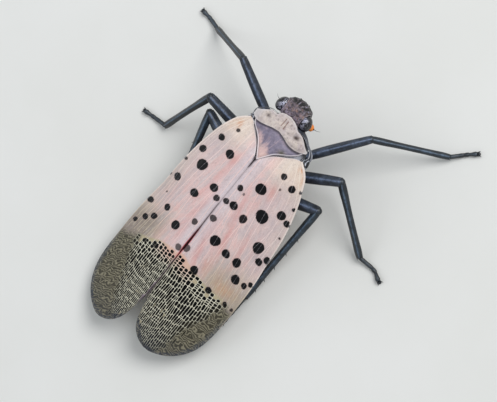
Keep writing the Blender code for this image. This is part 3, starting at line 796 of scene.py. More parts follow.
def net_strip(stages, stage, strip, strand, start, end, side):
    """Cells of one strip between two neighbouring lines, from its start to its end."""
    def arc_of(y, line):
        arc = (strand + net_line(stages, stage, line, y)) * STRAND
        return float(arc + 0.04 * speckle((y * 1.1, arc * 1.4), 1.0, 5.0))

    def ripple(y, arc):
        """How far a line across the net is carried along the wing, so that neighbours nearly meet."""
        return 0.3 * float(speckle((arc * 1.1, y * 0.25), 1.0, 9.0))

    cells = []
    y = start
    while y < end - 0.04:
        mid = (arc_of(y, strip) + arc_of(y, strip + 1)) / 2
        sy, su = seen(y, mid, side)
        front = float(np.interp(su, *NET_FRONT[side]))
        fade = float(worn(sy, su, side))
        past = float(sy - front)
        mature = float(ease(past, 0.4, 2.2))
        pitch = 0.32 + 0.38 * mature * (1 - 0.5 * fade) - 0.34 * float(ease(y, 21.5, 24.6))
        phase = (y - ripple(y, mid)) / pitch
        y2 = (math.floor(phase + 0.35) + 1) * pitch + ripple(y, mid) + RNG.normal(0, 0.03)
        if mature > 0.5 and RNG.uniform() < 0.25:
            y2 += pitch * RNG.uniform(0.4, 0.8)
        y2 = max(y2, y + 0.13)
        if end - y2 < 0.16:
            y2 = end
        y2 = min(y2, NET_END)
        skew = RNG.normal(0, 0.02, 4)
        gap = (past < -0.02 or (past < 0.5 and RNG.uniform() < 0.3)
               or RNG.uniform() < float(ease(fade, 0.45, 0.9)))
        if not gap and y2 - y > 0.08:
            corners = np.array([(y + skew[0], arc_of(y, strip)), (y2 + skew[1], arc_of(y2, strip)),
                                (y2 + skew[2], arc_of(y2, strip + 1)), (y + skew[3], arc_of(y, strip + 1))])
            low, high = margin(INNER, corners[:, 0]) + 0.05, margin(OUTER, corners[:, 0]) - 0.07
            corners[:, 1] = np.clip(corners[:, 1], low, np.maximum(low, high))
            tall = min(corners[3, 1] - corners[0, 1], corners[2, 1] - corners[1, 1])
            if tall > 0.055:
                cells.append((corners, fade, mature))
        y = y2
        if y >= 24.8:
            break
    return cells


def cell_rings(corners, fade, mature):
    """Rings of one cell from its rim down to its floor: outline, 1 on the floor, and height."""
    angle = np.arange(CELL_SIDES) * 2 * math.pi / CELL_SIDES
    ca, sa = np.cos(angle), np.sin(angle)
    ways_out = np.stack([ca, sa], 1)
    square = ways_out / np.maximum(np.abs(ca), np.abs(sa))[:, None]
    oval = ways_out / (np.abs(ca) ** SQUARENESS + np.abs(sa) ** SQUARENESS)[:, None] ** (1 / SQUARENESS)
    long = abs(corners[1, 0] + corners[2, 0] - corners[0, 0] - corners[3, 0]) / 4
    wide = (corners[3, 1] + corners[2, 1] - corners[0, 1] - corners[1, 1]) / 4
    line = min(0.018 + 0.014 * (1 - mature) + 0.003 * fade, wide * 0.46)
    keep = np.array([max(1 - line * 0.9 / long, 0.35), 1 - line / wide])
    rise = 1 - 0.7 * fade
    rings = ((square, 0, 0.02 * rise), (oval * (keep + (1 - keep) * 0.3), 0, 0.018 * rise),
             (oval * keep, 1, 0.008 * rise), (oval * keep * 0.9, 1, 0.0))
    for ring, flag, height in rings:
        s, t = (ring[:, 0] + 1) / 2, (ring[:, 1] + 1) / 2
        spread = (corners[0] * ((1 - s) * (1 - t))[:, None] + corners[1] * (s * (1 - t))[:, None]
                  + corners[2] * (s * t)[:, None] + corners[3] * ((1 - s) * t)[:, None])
        yield spread, flag, CELL_FLOOR + height


def net(side, paint):
    """Raised net of pale veins round sunken dark cells, as real relief."""
    points, faces, floor, fades, tints = [], [], [], [], []
    for corners, fade, mature in net_cells(side):
        base = len(points)
        tint = RNG.uniform(0, 1) ** 2
        for spread, flag, height in cell_rings(corners, fade, mature):
            points += [(a, b, height) for a, b in spread]
            floor += [flag] * CELL_SIDES
            fades += [fade] * CELL_SIDES
            tints += [tint] * CELL_SIDES
        for ring in range(3):
            a, b = base + ring * CELL_SIDES, base + (ring + 1) * CELL_SIDES
            for j in range(CELL_SIDES):
                n = (j + 1) % CELL_SIDES
                faces.append([a + j, a + n, b + n, b + j])
        faces.append([b + j for j in range(CELL_SIDES)])
    points = np.array(points)
    marks = wing_marks(points[:, 0], points[:, 1], side)
    height = np.where(marks["past"] < 0.06, points[:, 2] * 0.6, points[:, 2])
    placed = lay(points[:, :2], side, height)
    if side == "right":
        faces = [face[::-1] for face in faces]
    shape = Shape()
    shape.add(body(placed), faces, place=marks["place"], floor=np.array(floor, float), rim=marks["rim"],
              fade=np.array(fades), tint=np.array(tints), rose=marks["blush"], spot=marks["spot"])
    return shape.make("forewing_net_" + side, paint, stands_in=False)


# Hindwings

def hindwing_paint():
    p = Paint("hindwing", 0.45)
    grain = p.noise("place", 5.0, 5, 0.6)
    red = p.two(grain, (176, 20, 30), (206, 40, 42), 0.3, 0.7)
    along = p.sum("along", p.steps(grain, 0.2, 0.8, -0.25, 0.25))
    tone = p.mix(p.steps(along, 16.5, 16.75), red, (222, 216, 206))
    tone = p.coats(tone, (
        (p.steps(along, 18.2, 18.5), (24, 20, 22)),
        (p.steps("spot", 0.03, -0.03), (18, 14, 16)),
        # Painted shade: the hindwing's base near the body, darkened to dark brown
        (p.steps(along, 10.0, 9.3), (52, 26, 28)),
        # Painted shade: the strip of hindwing seen in the gap between the forewings, near black
        ("core", (14, 8, 10))))
    p.colour(tone)
    return p.bump(grain, 0.02, 0.5).mat


HIND_INNER = ((8.15, 1.0), (8.7, 0.5), (9.4, 0.12), (12, 0.03), (16, 0.03), (19.0, 0.1), (20.4, 0.5),
              (21.15, 1.4))
HIND_OUTER = ((8.15, 2.1), (8.5, 3.5), (9.6, 4.55), (12, 5.25), (15, 5.35), (18, 4.95), (20.2, 3.75),
              (21.15, 2.0))
HIND_SPOTS = ((10.2, 2.2, .4), (11.4, 3.4, .45), (12.6, 2.4, .35), (11.0, 4.5, .35), (13.0, 4.2, .4),
              (12.2, 1.1, .3))
HIND_DEPTH = 0.66  # how far the hindwings lie under the roof


def hindwing(side, paint):
    """Pleated fan folded under a forewing."""
    inner, outer = spline(HIND_INNER, 110), spline(HIND_OUTER, 110)
    share = np.linspace(0, 1, 60)
    grid = inner[:, None] + share[None, :, None] * (outer - inner)[:, None]
    y, arc = grid[..., 0], grid[..., 1]
    fan = arc / (0.55 + 0.03 * (y - 8))
    pleat = 0.11 * np.abs(((fan % 1) * 2 - 1)) * ease(y, 8.2, 10) * ease(arc - 0.1, 0, 0.5)
    spot = np.full(y.shape, FAR)
    for cy, cu, r in HIND_SPOTS:
        spot = np.minimum(spot, np.hypot(y - cy, arc - cu) - r)
    lift = (0.0 if side == "left" else 0.05) - 0.5 * ease(1.0 - arc, 0, 0.9)
    shape = Shape()
    shape.grid(body(roof(y, arc, side, HIND_DEPTH + pleat + lift)), flip=side == "right",
               place=np.stack([y, arc, 0 * y], -1), along=y, spot=spot,
               # Painted shade: near black along the inner edge, where the hindwing shows in the gap between
               # the forewings
               core=ease(0.17 - arc, 0, 0.06) * 0.95)
    return shape.make("hindwing_" + side, paint, thick=HINDWING_SKIN)


# Plates over the thorax

# Edges of the front plate from its right tip to its left one: x, front, hind
PRONOTUM_X = (-2.78, -2.48, -2.12, -1.82, -1.5, -1.3, -1.12, -0.95, -0.58, -0.1, 0.44, 0.78, 0.9, 1.0, 1.3,
              1.6, 2.24, 2.66, 2.92)
PRONOTUM_FRONT = (2.78, 2.54, 2.19, 1.93, 1.79, 1.77, 1.68, 1.5, 1.32, 1.2, 1.28, 1.44, 1.6, 1.78, 1.79,
                  1.82, 2.31, 2.62, 2.8)
PRONOTUM_HIND = (2.9, 3.06, 3.15, 3.18, 3.16, 3.11, 3.06, 2.98, 2.85, 2.75, 2.85, 2.96, 3.0, 3.04, 3.14,
                 3.24, 3.38, 3.34, 3.2)


# Smudges of the front plate: middle, width, darkness, and squeeze where they are oval
SMUDGES = (
    ((1.56, 2.33), 0.19, 0.95, 1.0, 1.1), ((-1.46, 2.24), 0.22, 1.1, 1.0, 1.1), ((0.6, 2.0), 0.07, 0.6),
    ((-0.56, 1.62), 0.08, 0.5), ((-0.75, 2.3), 0.07, 0.4), ((1.0, 1.9), 0.08, 0.5),
           ((-1.25, 1.9), 0.08, 0.5))


def pronotum_paint():
    def marks(p, tone):
        stain = p.noise("place", 2.6, 5, 0.65, 0.6)
        tone = p.coats(tone, (
            (p.steps(stain, 0.52, 0.7, 0.0, 0.62), (160, 138, 128)),
            (p.steps(stain, 0.44, 0.3, 0.0, 0.6), (228, 218, 214)),
            (p.steps(p.noise("place", 7.0, 3, 0.6), 0.62, 0.74, 0.0, 0.5), (128, 102, 92)),
            ("smudge", (88, 74, 70)),
            ("groove", (112, 66, 50)),
            ("pale", (228, 222, 222))))
        # Painted shadow: dark lines along the plate's front and hind edges
        return p.mix("dark", tone, (52, 46, 50))
    return shell_paint("pronotum_shell", (220, 206, 196), (198, 184, 184), (230, 224, 226), 0.5,
                       grain_size=4.5, extra=marks)


def pronotum(paint):
    """Front plate: its keel, cheeks, hollows and collar, two brown grooves, and smudges."""
    right_tip, left_tip = PRONOTUM_X[0], PRONOTUM_X[-1]
    across = np.linspace(right_tip, left_tip, 161)
    share = np.linspace(0, 1, 54)
    front = smooth(np.interp(across, PRONOTUM_X, PRONOTUM_FRONT)) - 0.07
    hind = smooth(np.interp(across, PRONOTUM_X, PRONOTUM_HIND))
    x = np.broadcast_to(across, (54, 161))
    y = front + share[:, None] * (hind - front)
    base = 1.8 + 0.1 * y - (3.6 - np.sqrt(3.6 ** 2 - x ** 2))
    from_front, from_hind = y - front, hind - y
    side = np.abs(x)
    tip = np.where(x > 0, left_tip - x, x - right_tip)
    lines = (ridge(x - 0.11, 0.034) * span(y, 1.4, 1.55, 2.3, 0.12)
             + ridge(x + 0.15 + 0.07 * (y - 1.5), 0.034) * span(y, 1.5, 1.62, 2.42, 0.12))
    keel = ridge(x + 0.02, 0.06, 0.025) * ease(from_front, 0.05, 0.3)
    cheeks = dab(side, y, (0.62, 2.2), 0.42, 0.08, ky=0.9)
    hollow = dab(side, y, (1.45, 2.3), 0.24, 0.09, ky=1.1)
    flank = dab(side, y, (2.15, 2.75), 0.4, 0.06, ky=1.1)
    collar = ridge(from_front - 0.07, 0.05, 0.035) + ridge(from_hind - 0.06, 0.05, 0.025)
    fold = (ridge(side - 1.12 + 0.1 * (y - 1.8), 0.06, 0.035) * ease(from_front, 0.0, 0.1)
            * ease(2.7 - y, 0, 0.6))
    spots = np.stack([x * 1.6, y * 2.6], -1)
    wrinkle = speckle(spots, 1.0, 1.0) * 0.04 + speckle(spots, 3.1, 4.0) * 0.016
    roll = ridge(from_front, 0.03, 0.04) + ridge(from_hind, 0.04, 0.05) + ridge(tip, 0.03, 0.04)
    z = base + keel - lines * 0.05 + cheeks - hollow + flank + collar - fold + wrinkle - roll + 0.1
    plate = np.stack([x + PLATE_SHIFT, y, z], -1)
    smudge = sum(dab(x, y, *spot) for spot in SMUDGES)
    shape = Shape()
    shape.grid(body(plate), place=np.stack([x, y, z], -1), smudge=np.clip(smudge, 0, 1),
               groove=np.clip(lines * 0.9 + ridge(x, 0.5, 0.16) * span(y, 1.4, 1.7, 2.6, 0.4), 0, 0.85),
               pale=np.clip(ridge(from_front - 0.09, 0.05, 0.7) + ridge(tip - 0.08, 0.09, 0.7)
                            + ridge(from_hind - 0.09, 0.05, 0.4) + ease(x, 1.8, 2.6) * 0.6, 0, 0.9),
               # Painted shadow along the front and hind edges
               dark=np.clip(ridge(from_hind, 0.025, 0.9) + ridge(from_front, 0.02, 0.7), 0, 0.9))
    return shape.make("pronotum", paint, thick=PLATE_SKIN)


# Half width of the rear plate over the distance along the body
MESO_Y = (3.3, 3.45, 3.7, 3.95, 4.25, 4.5, 4.87, 5.1, 5.5)
MESO_X = (2.48, 2.3, 1.95, 1.51, 1.08, 0.82, 0.52, 0.34, 0.04)


def mesonotum_paint():
    def marks(p, tone):
        fibres = p.noise(p.stretched("fan", (5.0, 0.8, 1.0)), 1.0, 4, 0.6)
        cloud = p.noise("place", 1.7, 5, 0.65, 0.5)
        tone = p.coats(tone, (
            (p.steps(fibres, 0.35, 0.62, 0.35, 0.0), (96, 86, 104)),
            (p.steps(cloud, 0.46, 0.3, 0.0, 0.6), (92, 84, 104)),
            (p.steps(cloud, 0.55, 0.72, 0.0, 0.5), (164, 156, 176))))
        rosy = p.sum("rosy", p.steps(p.sum(fibres, cloud), 0.75, 1.25, -0.34, 0.3), clamp=True)
        tone = p.coats(tone, (
            (p.steps(rosy, 0.05, 0.85), p.two(cloud, (226, 194, 186), (206, 172, 172))),
            ("keel", (206, 180, 182)),
            ("olive", (92, 88, 74)),
            ("shade", (58, 50, 60))))
        return p.mix("pale", tone, (226, 218, 222))
    return shell_paint("mesonotum_shell", (142, 134, 154), (120, 112, 132), (186, 180, 196), 0.5,
                       wax_low=0.6, wax_high=0.9, grain_size=4.0, extra=marks)


def mesonotum(paint):
    """Rear plate, a triangle tucked under the front plate, with a dented rim and a rosy point."""
    start, end = MESO_Y[0], MESO_Y[-1]
    back = np.linspace(start, end, 90)
    half = smooth(np.interp(back, MESO_Y, MESO_X), (1,) * 7)
    v = np.linspace(-1, 1, 151)
    x = half[:, None] * v[None]
    front = np.interp(x - PLATE_SHIFT, PRONOTUM_X, PRONOTUM_HIND) - 0.1
    fade = ((back - start) / (end - start))[:, None]
    y = back[:, None] + (front - start) * (1 - fade) ** 2
    x = np.where(x < 0, 1.05 * x, x) - 0.09 * ease(y, 3.9, 5.4)
    z = 1.78 + 0.2 * y - (5.5 - np.sqrt(5.5 ** 2 - x ** 2))
    from_side = half[:, None] * (1 - np.abs(v))[None] * 0.72
    from_front = y - front - 0.1
    keel = ridge(x, 0.03, 0.02) + ridge(x + 0.42 - 0.16 * (y - 3.5), 0.04, 0.015) * ease(4.8 - y, 0, 0.6)
    dome = dab(x, y, (0, 3.9), 0.9, 0.1, 0.7)
    edge = ridge(from_side - 0.045, 0.028, 0.025) - ridge(from_side, 0.03, 0.04)
    dip = ridge(from_side - 0.16, 0.06, 0.04)
    tuck = ease(0.2 - from_front, 0, 0.2) * 0.16
    apex = dab(x, y, (0, 5.0), 0.3, 0.04)
    wrinkle = (speckle(np.stack([x * 2.2, y * 1.4], -1), 1.0, 8.0) * 0.03
               + speckle(np.stack([x * 5, y * 4], -1), 1.0, 3.0) * 0.012)
    z = z + keel + dome + edge - dip - tuck + apex + wrinkle + 0.1
    shape = Shape()
    shape.grid(body(np.stack([x, y, z], -1)), place=np.stack([x, y, z], -1),
               fan=np.stack([np.arctan2(x, 7.2 - y), y, 0 * x], -1),
               rosy=np.clip(ease(y + 0.26 * x - 0.25 * ridge(x + 0.75, 0.4), 3.6, 4.95), 0, 1),
               keel=np.clip(ridge(x - 0.02, 0.028, 0.6) * ease(y, 3.4, 4.0)
                            + ridge(x + 0.42 - 0.16 * (y - 3.5), 0.022, 0.4) * ease(4.8 - y, 0, 0.6), 0, 1),
               olive=dab(x, y, (-1.32, 3.85), 0.26, 0.95, 0.8) + dab(x, y, (1.5, 3.6), 0.2, 0.3, 0.9),
               shade=np.clip(ease(0.1 - from_front, 0, 0.1) * 0.9 + ridge(from_side - 0.13, 0.03, 0.4)
                             + ridge(from_side, 0.018, 0.9), 0, 1),
               pale=np.clip(ridge(from_side - 0.06, 0.035, 0.9), 0, 1))
    return shape.make("mesonotum", paint, thick=PLATE_SKIN)


# Head

# Rings of the head: (along the body, half width, top, bottom)
HEAD_RINGS = np.array((
    (-0.47, 0.22, 0.5, 0.1), (-0.42, 0.42, 0.66, -0.1), (-0.3, 0.76, 0.88, -0.48),
    (-0.08, 1.04, 1.06, -0.88), (0.14, 1.16, 1.14, -1.04), (0.45, 1.26, 1.2, -1.18),
    (0.95, 1.3, 1.22, -1.28), (1.4, 1.2, 1.12, -1.1)))
EYE_PLACE, EYE_SIZE, EYE_TURN = (1.28, 0.82, 0.42), (0.54, 0.7, 0.58), math.radians(18)


BULGE = 2.3  # 2 makes ovals, and more makes them squarer


def oval_rings(table, rows, sides):
    """Rings across the body from rows of (y, half width, top, bottom)."""
    t = spline(table, rows)
    angle = np.linspace(0, 2 * math.pi, sides, endpoint=False)
    ca, sa = np.cos(angle), np.sin(angle)
    bulge = (np.abs(ca) ** BULGE + np.abs(sa) ** BULGE) ** (-1 / BULGE)
    mid, tall = (t[:, 2] + t[:, 3]) / 2, (t[:, 2] - t[:, 3]) / 2
    x = t[:, 1][:, None] * (ca * bulge)[None]
    z = mid[:, None] + tall[:, None] * (sa * bulge)[None]
    y = np.broadcast_to(t[:, 0][:, None], x.shape)
    return np.stack([x, y, z], -1)


def outward(grid):
    """Unit normals of rings that run round the body axis."""
    a = np.roll(grid, -1, axis=1) - np.roll(grid, 1, axis=1)
    n = unit(np.cross(np.gradient(grid, axis=0), a))
    centre = grid.mean(axis=1, keepdims=True)
    flip = np.sign(np.sum(n * (grid - centre), axis=-1))
    return n * np.where(flip == 0, 1, flip)[..., None]


def head_paint():
    def marks(p, tone):
        patch = p.noise("place", 3.4, 5, 0.65, 0.7)
        fine = p.noise("place", 7.5, 4, 0.6, 0.4)
        top = "top"
        tone = p.coats(tone, (
            (p.times(p.steps(patch, 0.5, 0.64), top), (162, 130, 114)),
            (p.times(p.steps(patch, 0.48, 0.34), top), (58, 48, 52)),
            (p.times("mauve", p.steps(fine, 0.36, 0.62)), (146, 132, 150)),
            (p.times(p.steps(fine, 0.42, 0.28, 0.0, 0.9), top), (26, 22, 26))))
        rib = p.sum("rib", p.steps(fine, 0.25, 0.75, -0.55, 0.55))
        face = "face"
        # Painted shade in the crevices between the face's ribs, and a painted bluish highlight on their
        # crests
        tone = p.mix(p.times(p.steps(rib, 0.5, 0.05), face), tone, (10, 10, 13))
        shine = p.times(p.steps(rib, 0.5, 0.95), p.steps(patch, 0.42, 0.62))
        tone = p.coats(tone, (
            (p.times(p.times(shine, face), 0.9), (156, 158, 184)),
            ("dark", (12, 11, 14))))
        return p.mix("pale", tone, (188, 184, 198))
    return shell_paint("head_shell", (98, 86, 88), (52, 45, 49), (146, 140, 158), 0.44,
                       wax_low=0.62, wax_high=0.85, grain_size=5.0, extra=marks)


def head(paint):
    """Head with a ribbed face, keels, and a ring round each eye socket."""
    grid = oval_rings(HEAD_RINGS, 130, 180)
    n = outward(grid)
    x, y, z = (grid[..., k] for k in range(3))
    side = np.abs(x)
    face = np.clip(ease(-n[..., 1], 0.25, 0.6) + ease(-n[..., 2], 0.0, 0.7), 0, 1)
    top = ease(n[..., 2], 0.35, 0.8) * (1 - ease(-n[..., 1], 0.3, 0.6))
    low = ease(-z, 0.3, 1.0)
    fan = np.arctan2(x, 0.75 - y)
    rib = np.cos(fan * 17 + speckle(grid, 1.9, 2.0) * 3.2) * (0.65 + 0.35 * speckle(grid, 2.6, 7.0))
    ribs = rib * 0.017 * face * ease(z, -0.9, -0.2)
    keels = ((ridge(x, 0.05, 0.05) + ridge(side - 0.42 - 0.12 * low, 0.05, 0.05)) * face
             * ease(-z, -0.5, 0.3))
    brow = (ridge(side - 0.74, 0.07, 0.055) + ridge(x, 0.04, 0.03)) * top
    front_edge = ridge(np.abs(n[..., 1] + 0.42), 0.1, 0.05) * ease(z, 0.2, 0.7)
    dent = -(dab(side, y, (0.34, 0.7), 0.26, 0.09, ky=0.9) + dab(x, y, (0, 1.25), 0.3, 0.05)) * top
    wrinkle = np.sin(z * 26 + speckle(grid, 2.0, 2.0) * 2.2) * 0.012 * face * low
    rough = speckle(grid, 3.6, 4.0) * 0.034 + speckle(grid, 9.0, 1.0) * 0.013
    folded = np.stack([side, y, z], -1)
    socket = np.linalg.norm((folded - EYE_PLACE) / np.array(EYE_SIZE), axis=-1)
    ring = ridge(socket - 1.12, 0.08, 0.06)
    lift = ribs + keels + brow + front_edge + dent + wrinkle + rough + ring
    moved = grid + n * lift[..., None]
    spots = (dab(side, y, (0.42, 0.22), 0.1) + dab(side, y, (0.2, 0.62), 0.08, 0.7)
             + dab(side, y, (0.6, 1.15), 0.1, 0.6)) * ease(n[..., 2], 0.3, 0.6)
    shape = Shape()
    shape.grid(neck(moved), wrap=True, caps=True, place=moved, rib=rib, face=face * ease(z, -1.0, -0.3),
               top=top, mauve=top * (0.35 + 0.65 * ridge(y - 1.1, 0.5)),
               dark=np.clip(ridge(socket - 1.0, 0.09, 0.9) + spots * 0.85 + low * 0.55, 0, 0.95),
               pale=np.clip(ridge(side - 0.74, 0.04, 0.2) * top
                            + ridge(socket - 1.16, 0.035, 0.35) * ease(z, 0.1, 0.4), 0, 1))
    for sx in (-1, 1):
        ball(shape, neck, (0.16 * sx, 0.3, -1.02), (0.3, 0.34, 0.36), dark=0.5)
        ball(shape, neck, (0.5 * sx, 0.62, 1.17), (0.06, 0.07, 0.05), dark=0.2)
    ball(shape, neck, (0.0, 0.5, -1.22), (0.42, 0.42, 0.36), dark=0.6)
    return shape.make("head", paint)


def eye_paint():
    p = Paint("eye_glass", 0.16, Coat_Weight=0.5, Coat_Roughness=0.08)
    cloud = p.noise("place", 2.8, 4, 0.6, 0.6)
    fine = p.noise("place", 9.0, 3, 0.6)
    tone = p.two(cloud, (5, 5, 7), (24, 22, 28), 0.42, 0.7)
    tone = p.mix(p.steps(fine, 0.55, 0.72, 0.0, 0.6), tone, (62, 44, 40))
    # Pale bluish patches: partly wax bloom, partly a painted highlight on the eye's upper side
    patch = p.times("bloom", p.steps(p.sum(cloud, p.steps(fine, 0.3, 0.7, -0.14, 0.14)), 0.42, 0.64))
    tone = p.mix(patch, tone, p.two(fine, (164, 166, 196), (206, 206, 226)))
    p.colour(tone)
    p.rough(p.steps(cloud, 0.3, 0.8, 0.12, 0.34))
    return p.bump(p.cells("unit", 26.0), 0.012, 0.5).mat


def eye(side, paint):
    sign = SIDES[side][0]
    shape = Shape()
    sphere = round_ball(56, 80)
    local = (sphere * np.array(EYE_SIZE)) @ turn_z(-sign * EYE_TURN).T
    grid = local + np.array(EYE_PLACE) * (sign, 1, 1)
    # Pale patches at the top front and top rear: partly wax bloom, partly a painted highlight
    front, rear = sphere - (sign * -0.1, -0.35, 0.92), sphere - (sign * -0.3, 0.45, 0.8)
    bloom = np.maximum(ridge(np.linalg.norm(front * (1.0, 0.7, 1.0), axis=-1), 0.5),
                       ridge(np.linalg.norm(rear, axis=-1), 0.42, 0.9))
    shape.grid(neck(grid), wrap=True, caps=True, flip=True, place=grid, unit=sphere, bloom=bloom)
    return shape.make("eye_" + side, paint)


def feeler_paint():
    p = Paint("feeler", 0.5)
    grain = p.noise("place", 8.0, 4)
    pits = p.cells("unit", 7.0)
    tone = p.two(grain, (234, 122, 40), (246, 156, 66), 0.3, 0.7)
    tone = p.coats(tone, (
        (p.steps(pits, 0.1, 0.3, 0.45, 0.0), (120, 48, 14)),
        ("dark", (30, 22, 20))))
    p.colour(tone)
    return p.bump(pits, 0.03, 0.6).mat


def feeler(side, paint):
    """Orange knob below the eye, with a bristle."""
    sign = SIDES[side][0]
    shape = Shape()
    ball(shape, neck, (sign * 1.16, 0.98, -0.46), (0.22, 0.2, 0.2), dark=0.4)
    ball(shape, neck, (sign * 1.54, 0.98, -0.46), (0.37, 0.33, 0.33), rings=24, sides=32, dent=0.05)
    ball(shape, neck, (sign * 1.86, 0.93, -0.5), (0.1, 0.1, 0.1), dark=1.0)
    spike(shape, neck, (sign * 1.9, 0.92, -0.52), (sign * 2.45, 0.72, -0.66), 0.028, bend=(0, 0.04, 0.08),
          dark=1.0)
    return shape.make("antenna_" + side, paint)


def dark_paint(name, base=(13, 16, 21), bloom=(82, 93, 113), amount=0.85, reach=(1.2, 4.6, 1.0, 0.5)):
    """Slate shell with a patchy bluish painted highlight on its upper side, paler where it faces up, and
    painted highlight lines along its keels.
    """
    p = Paint(name, Coat_Weight=0.15, Coat_Roughness=0.3)
    grain = p.noise("place", 5.0, 6, 0.7)
    drift = p.noise("place", 1.0, 4, 0.6, 0.3)
    # Painted highlight: patchy, on the surfaces that face up, its strength set along the limb
    spread = p.times(p.steps(drift, 0.36, 0.62, 0.1, 1.0), p.steps("along", *reach))
    crown = p.times(p.steps(p.normal_up(0.35, 1.0), 0.25, 0.95), spread)
    tone = p.mix(p.steps(grain, 0.3, 0.7), base, shade(base, 1.5))
    # Painted light: paler where the surface faces up
    tone = p.mix(p.times(p.normal_up(-0.2, 0.8), 0.22), tone, shade(bloom, 0.62))
    tone = p.mix(p.times(crown, amount), tone,
                 p.mix(p.steps(grain, 0.35, 0.7), bloom, shade(bloom, 1.4)))
    # Painted highlight lines along the keels' upper faces
    lines = p.times(p.times("crest", p.normal_up(0.0, 0.8)), p.steps(grain, 0.3, 0.6, 0.1, 0.75))
    tone = p.coats(tone, (
        (p.times(lines, amount), shade(bloom, 1.75)),
        (p.steps(grain, 0.25, 0.42, 0.6, 0.0), shade(base, 0.5)),
        ("joint", shade(base, 0.6))))
    p.colour(tone)
    p.rough(p.steps(grain, 0.25, 0.75, 0.3, 0.54))
    p.bump(p.cells("place", 14.0), 0.014, 0.4)
    return p.bump(grain, 0.02, 0.5).mat


# Beak folded back between the legs: (along the body, height) from its root, and half widths
BEAK_PATH = ((0.62, -1.42), (0.9, -1.85), (1.4, -2.16), (2.4, -2.4), (5.0, -2.55), (7.6, -2.65))
BEAK_RADII = (0.36, 0.33, 0.27, 0.25, 0.22, 0.2, 0.2, 0.19, 0.18, 0.12)


def beak(paint):
    shape = Shape()
    path = [(0.0, y, z) for y, z in BEAK_PATH]

    def groove(angle):
        return 1 - 0.25 * ridge(np.mod(angle + math.pi / 2, 2 * math.pi) - math.pi, 0.35)

    centre = tube(shape, neck, path, BEAK_RADII, 24, groove, count=70)
    for k in (22, 46):
        ball(shape, neck, centre[k], (0.25, 0.12, 0.24), joint=0.4)
    return shape.make("beak", paint)


# Trunk

# Rings of the trunk: (along the body, half width, top, bottom)
THORAX = np.array((
    (1.72, 1.2, 1.1, -0.6), (2.3, 2.0, 1.26, -1.35), (3.0, 2.38, 1.38, -1.75), (4.0, 2.54, 1.66, -1.9),
    (5.5, 2.65, 1.85, -1.95), (7.0, 2.55, 1.75, -1.95), (7.95, 2.2, 1.6, -1.85)))
ABDOMEN = np.array((
    (8.02, 2.1, 1.5, -1.9), (9.0, 2.45, 1.6, -2.2), (11.0, 2.6, 1.6, -2.35), (13.0, 2.55, 1.4, -2.3),
    (15.0, 2.25, 1.05, -2.0), (17.0, 1.65, 0.7, -1.5), (18.6, 0.95, 0.4, -1.0), (19.2, 0.4, 0.1, -0.6)))
# Where the abdomen's rings meet
SEGMENTS = (9.3, 10.7, 12.1, 13.5, 14.9, 16.2, 17.4, 18.4)


def thorax_paint():
    def marks(p, tone):
        tone = p.mix("seam", tone, (8, 9, 12))
        return p.mix("pale", tone, (222, 224, 236))
    return shell_paint("thorax_shell", (50, 56, 68), (24, 27, 33), (140, 146, 162), 0.48,
                       wax_low=0.6, wax_high=0.85, grain_size=4.0, extra=marks)


# Side plate: (x, along the body, top, flare)
BAND = np.array((
    (1.3, 1.78, 1.42, 0.02), (1.6, 1.8, 1.32, 0.1), (2.0, 1.98, 1.1, 0.16), (2.42, 2.3, 0.82, 0.2),
    (2.78, 2.62, 0.5, 0.22), (2.94, 2.95, 0.34, 0.22), (2.98, 3.25, 0.22, 0.2), (2.98, 3.5, 0.12, 0.12)))


def side_band(shape, sign):
    """Side plate below the edge of the front plate, with pale waxy rims."""
    rows = spline(BAND, 60)
    v = np.linspace(0, 1, 20)[None, :]
    x = rows[:, 0:1] + 0.03 + rows[:, 3:4] * v
    x = sign * x + PLATE_SHIFT + (0.02 if sign > 0 else 0.0)
    z = rows[:, 2:3] - 0.62 * v
    y = rows[:, 1:2] + 0.12 * v - (0.04 if sign > 0 else 0.0)
    t = np.linspace(0, 1, 60)[:, None]
    groove = ridge(v - 0.5, 0.09, 0.05)
    swell = 0.06 * np.sin(np.pi * v) * (0.6 + 0.4 * np.sin(t * 9)) - groove
    plate = np.stack([x + sign * swell, y - swell * 0.4, z + 0 * x], -1)
    pale = ridge(v - 0.02, 0.09) + ridge(0.98 - v, 0.1) + ridge(v - 0.62, 0.06, 0.7)
    pale = np.clip(pale, 0, 1) * (0.55 + 0.45 * ease(t, 0.45, 0.7)) * (0.15 if sign > 0 else 1.0)
    seam = np.clip((ridge(v - 0.4, 0.13, 0.95) + ridge(v - 0.82, 0.07, 0.9)) * np.ones_like(x)
                   + ridge(t - 0.62, 0.02, 0.7) * np.ones_like(v), 0, 0.95)
    inward = np.array([sign * 0.07, 0.0, 0.02])
    back = plate - inward
    for sheet, turned, fade in ((plate, sign > 0, 1), (back, sign < 0, 0.3)):
        shape.grid(body(sheet), flip=turned, place=sheet, seam=seam, pale=pale * fade)
    loop = np.concatenate([plate[0], plate[1:, -1], plate[-1, -2::-1], plate[-2:0:-1, 0]])
    pair = np.stack([loop, loop - inward])
    shape.grid(body(pair), wrap=True, flip=sign < 0, place=pair, seam=np.zeros((2, len(loop))),
               pale=np.full((2, len(loop)), 0.35))


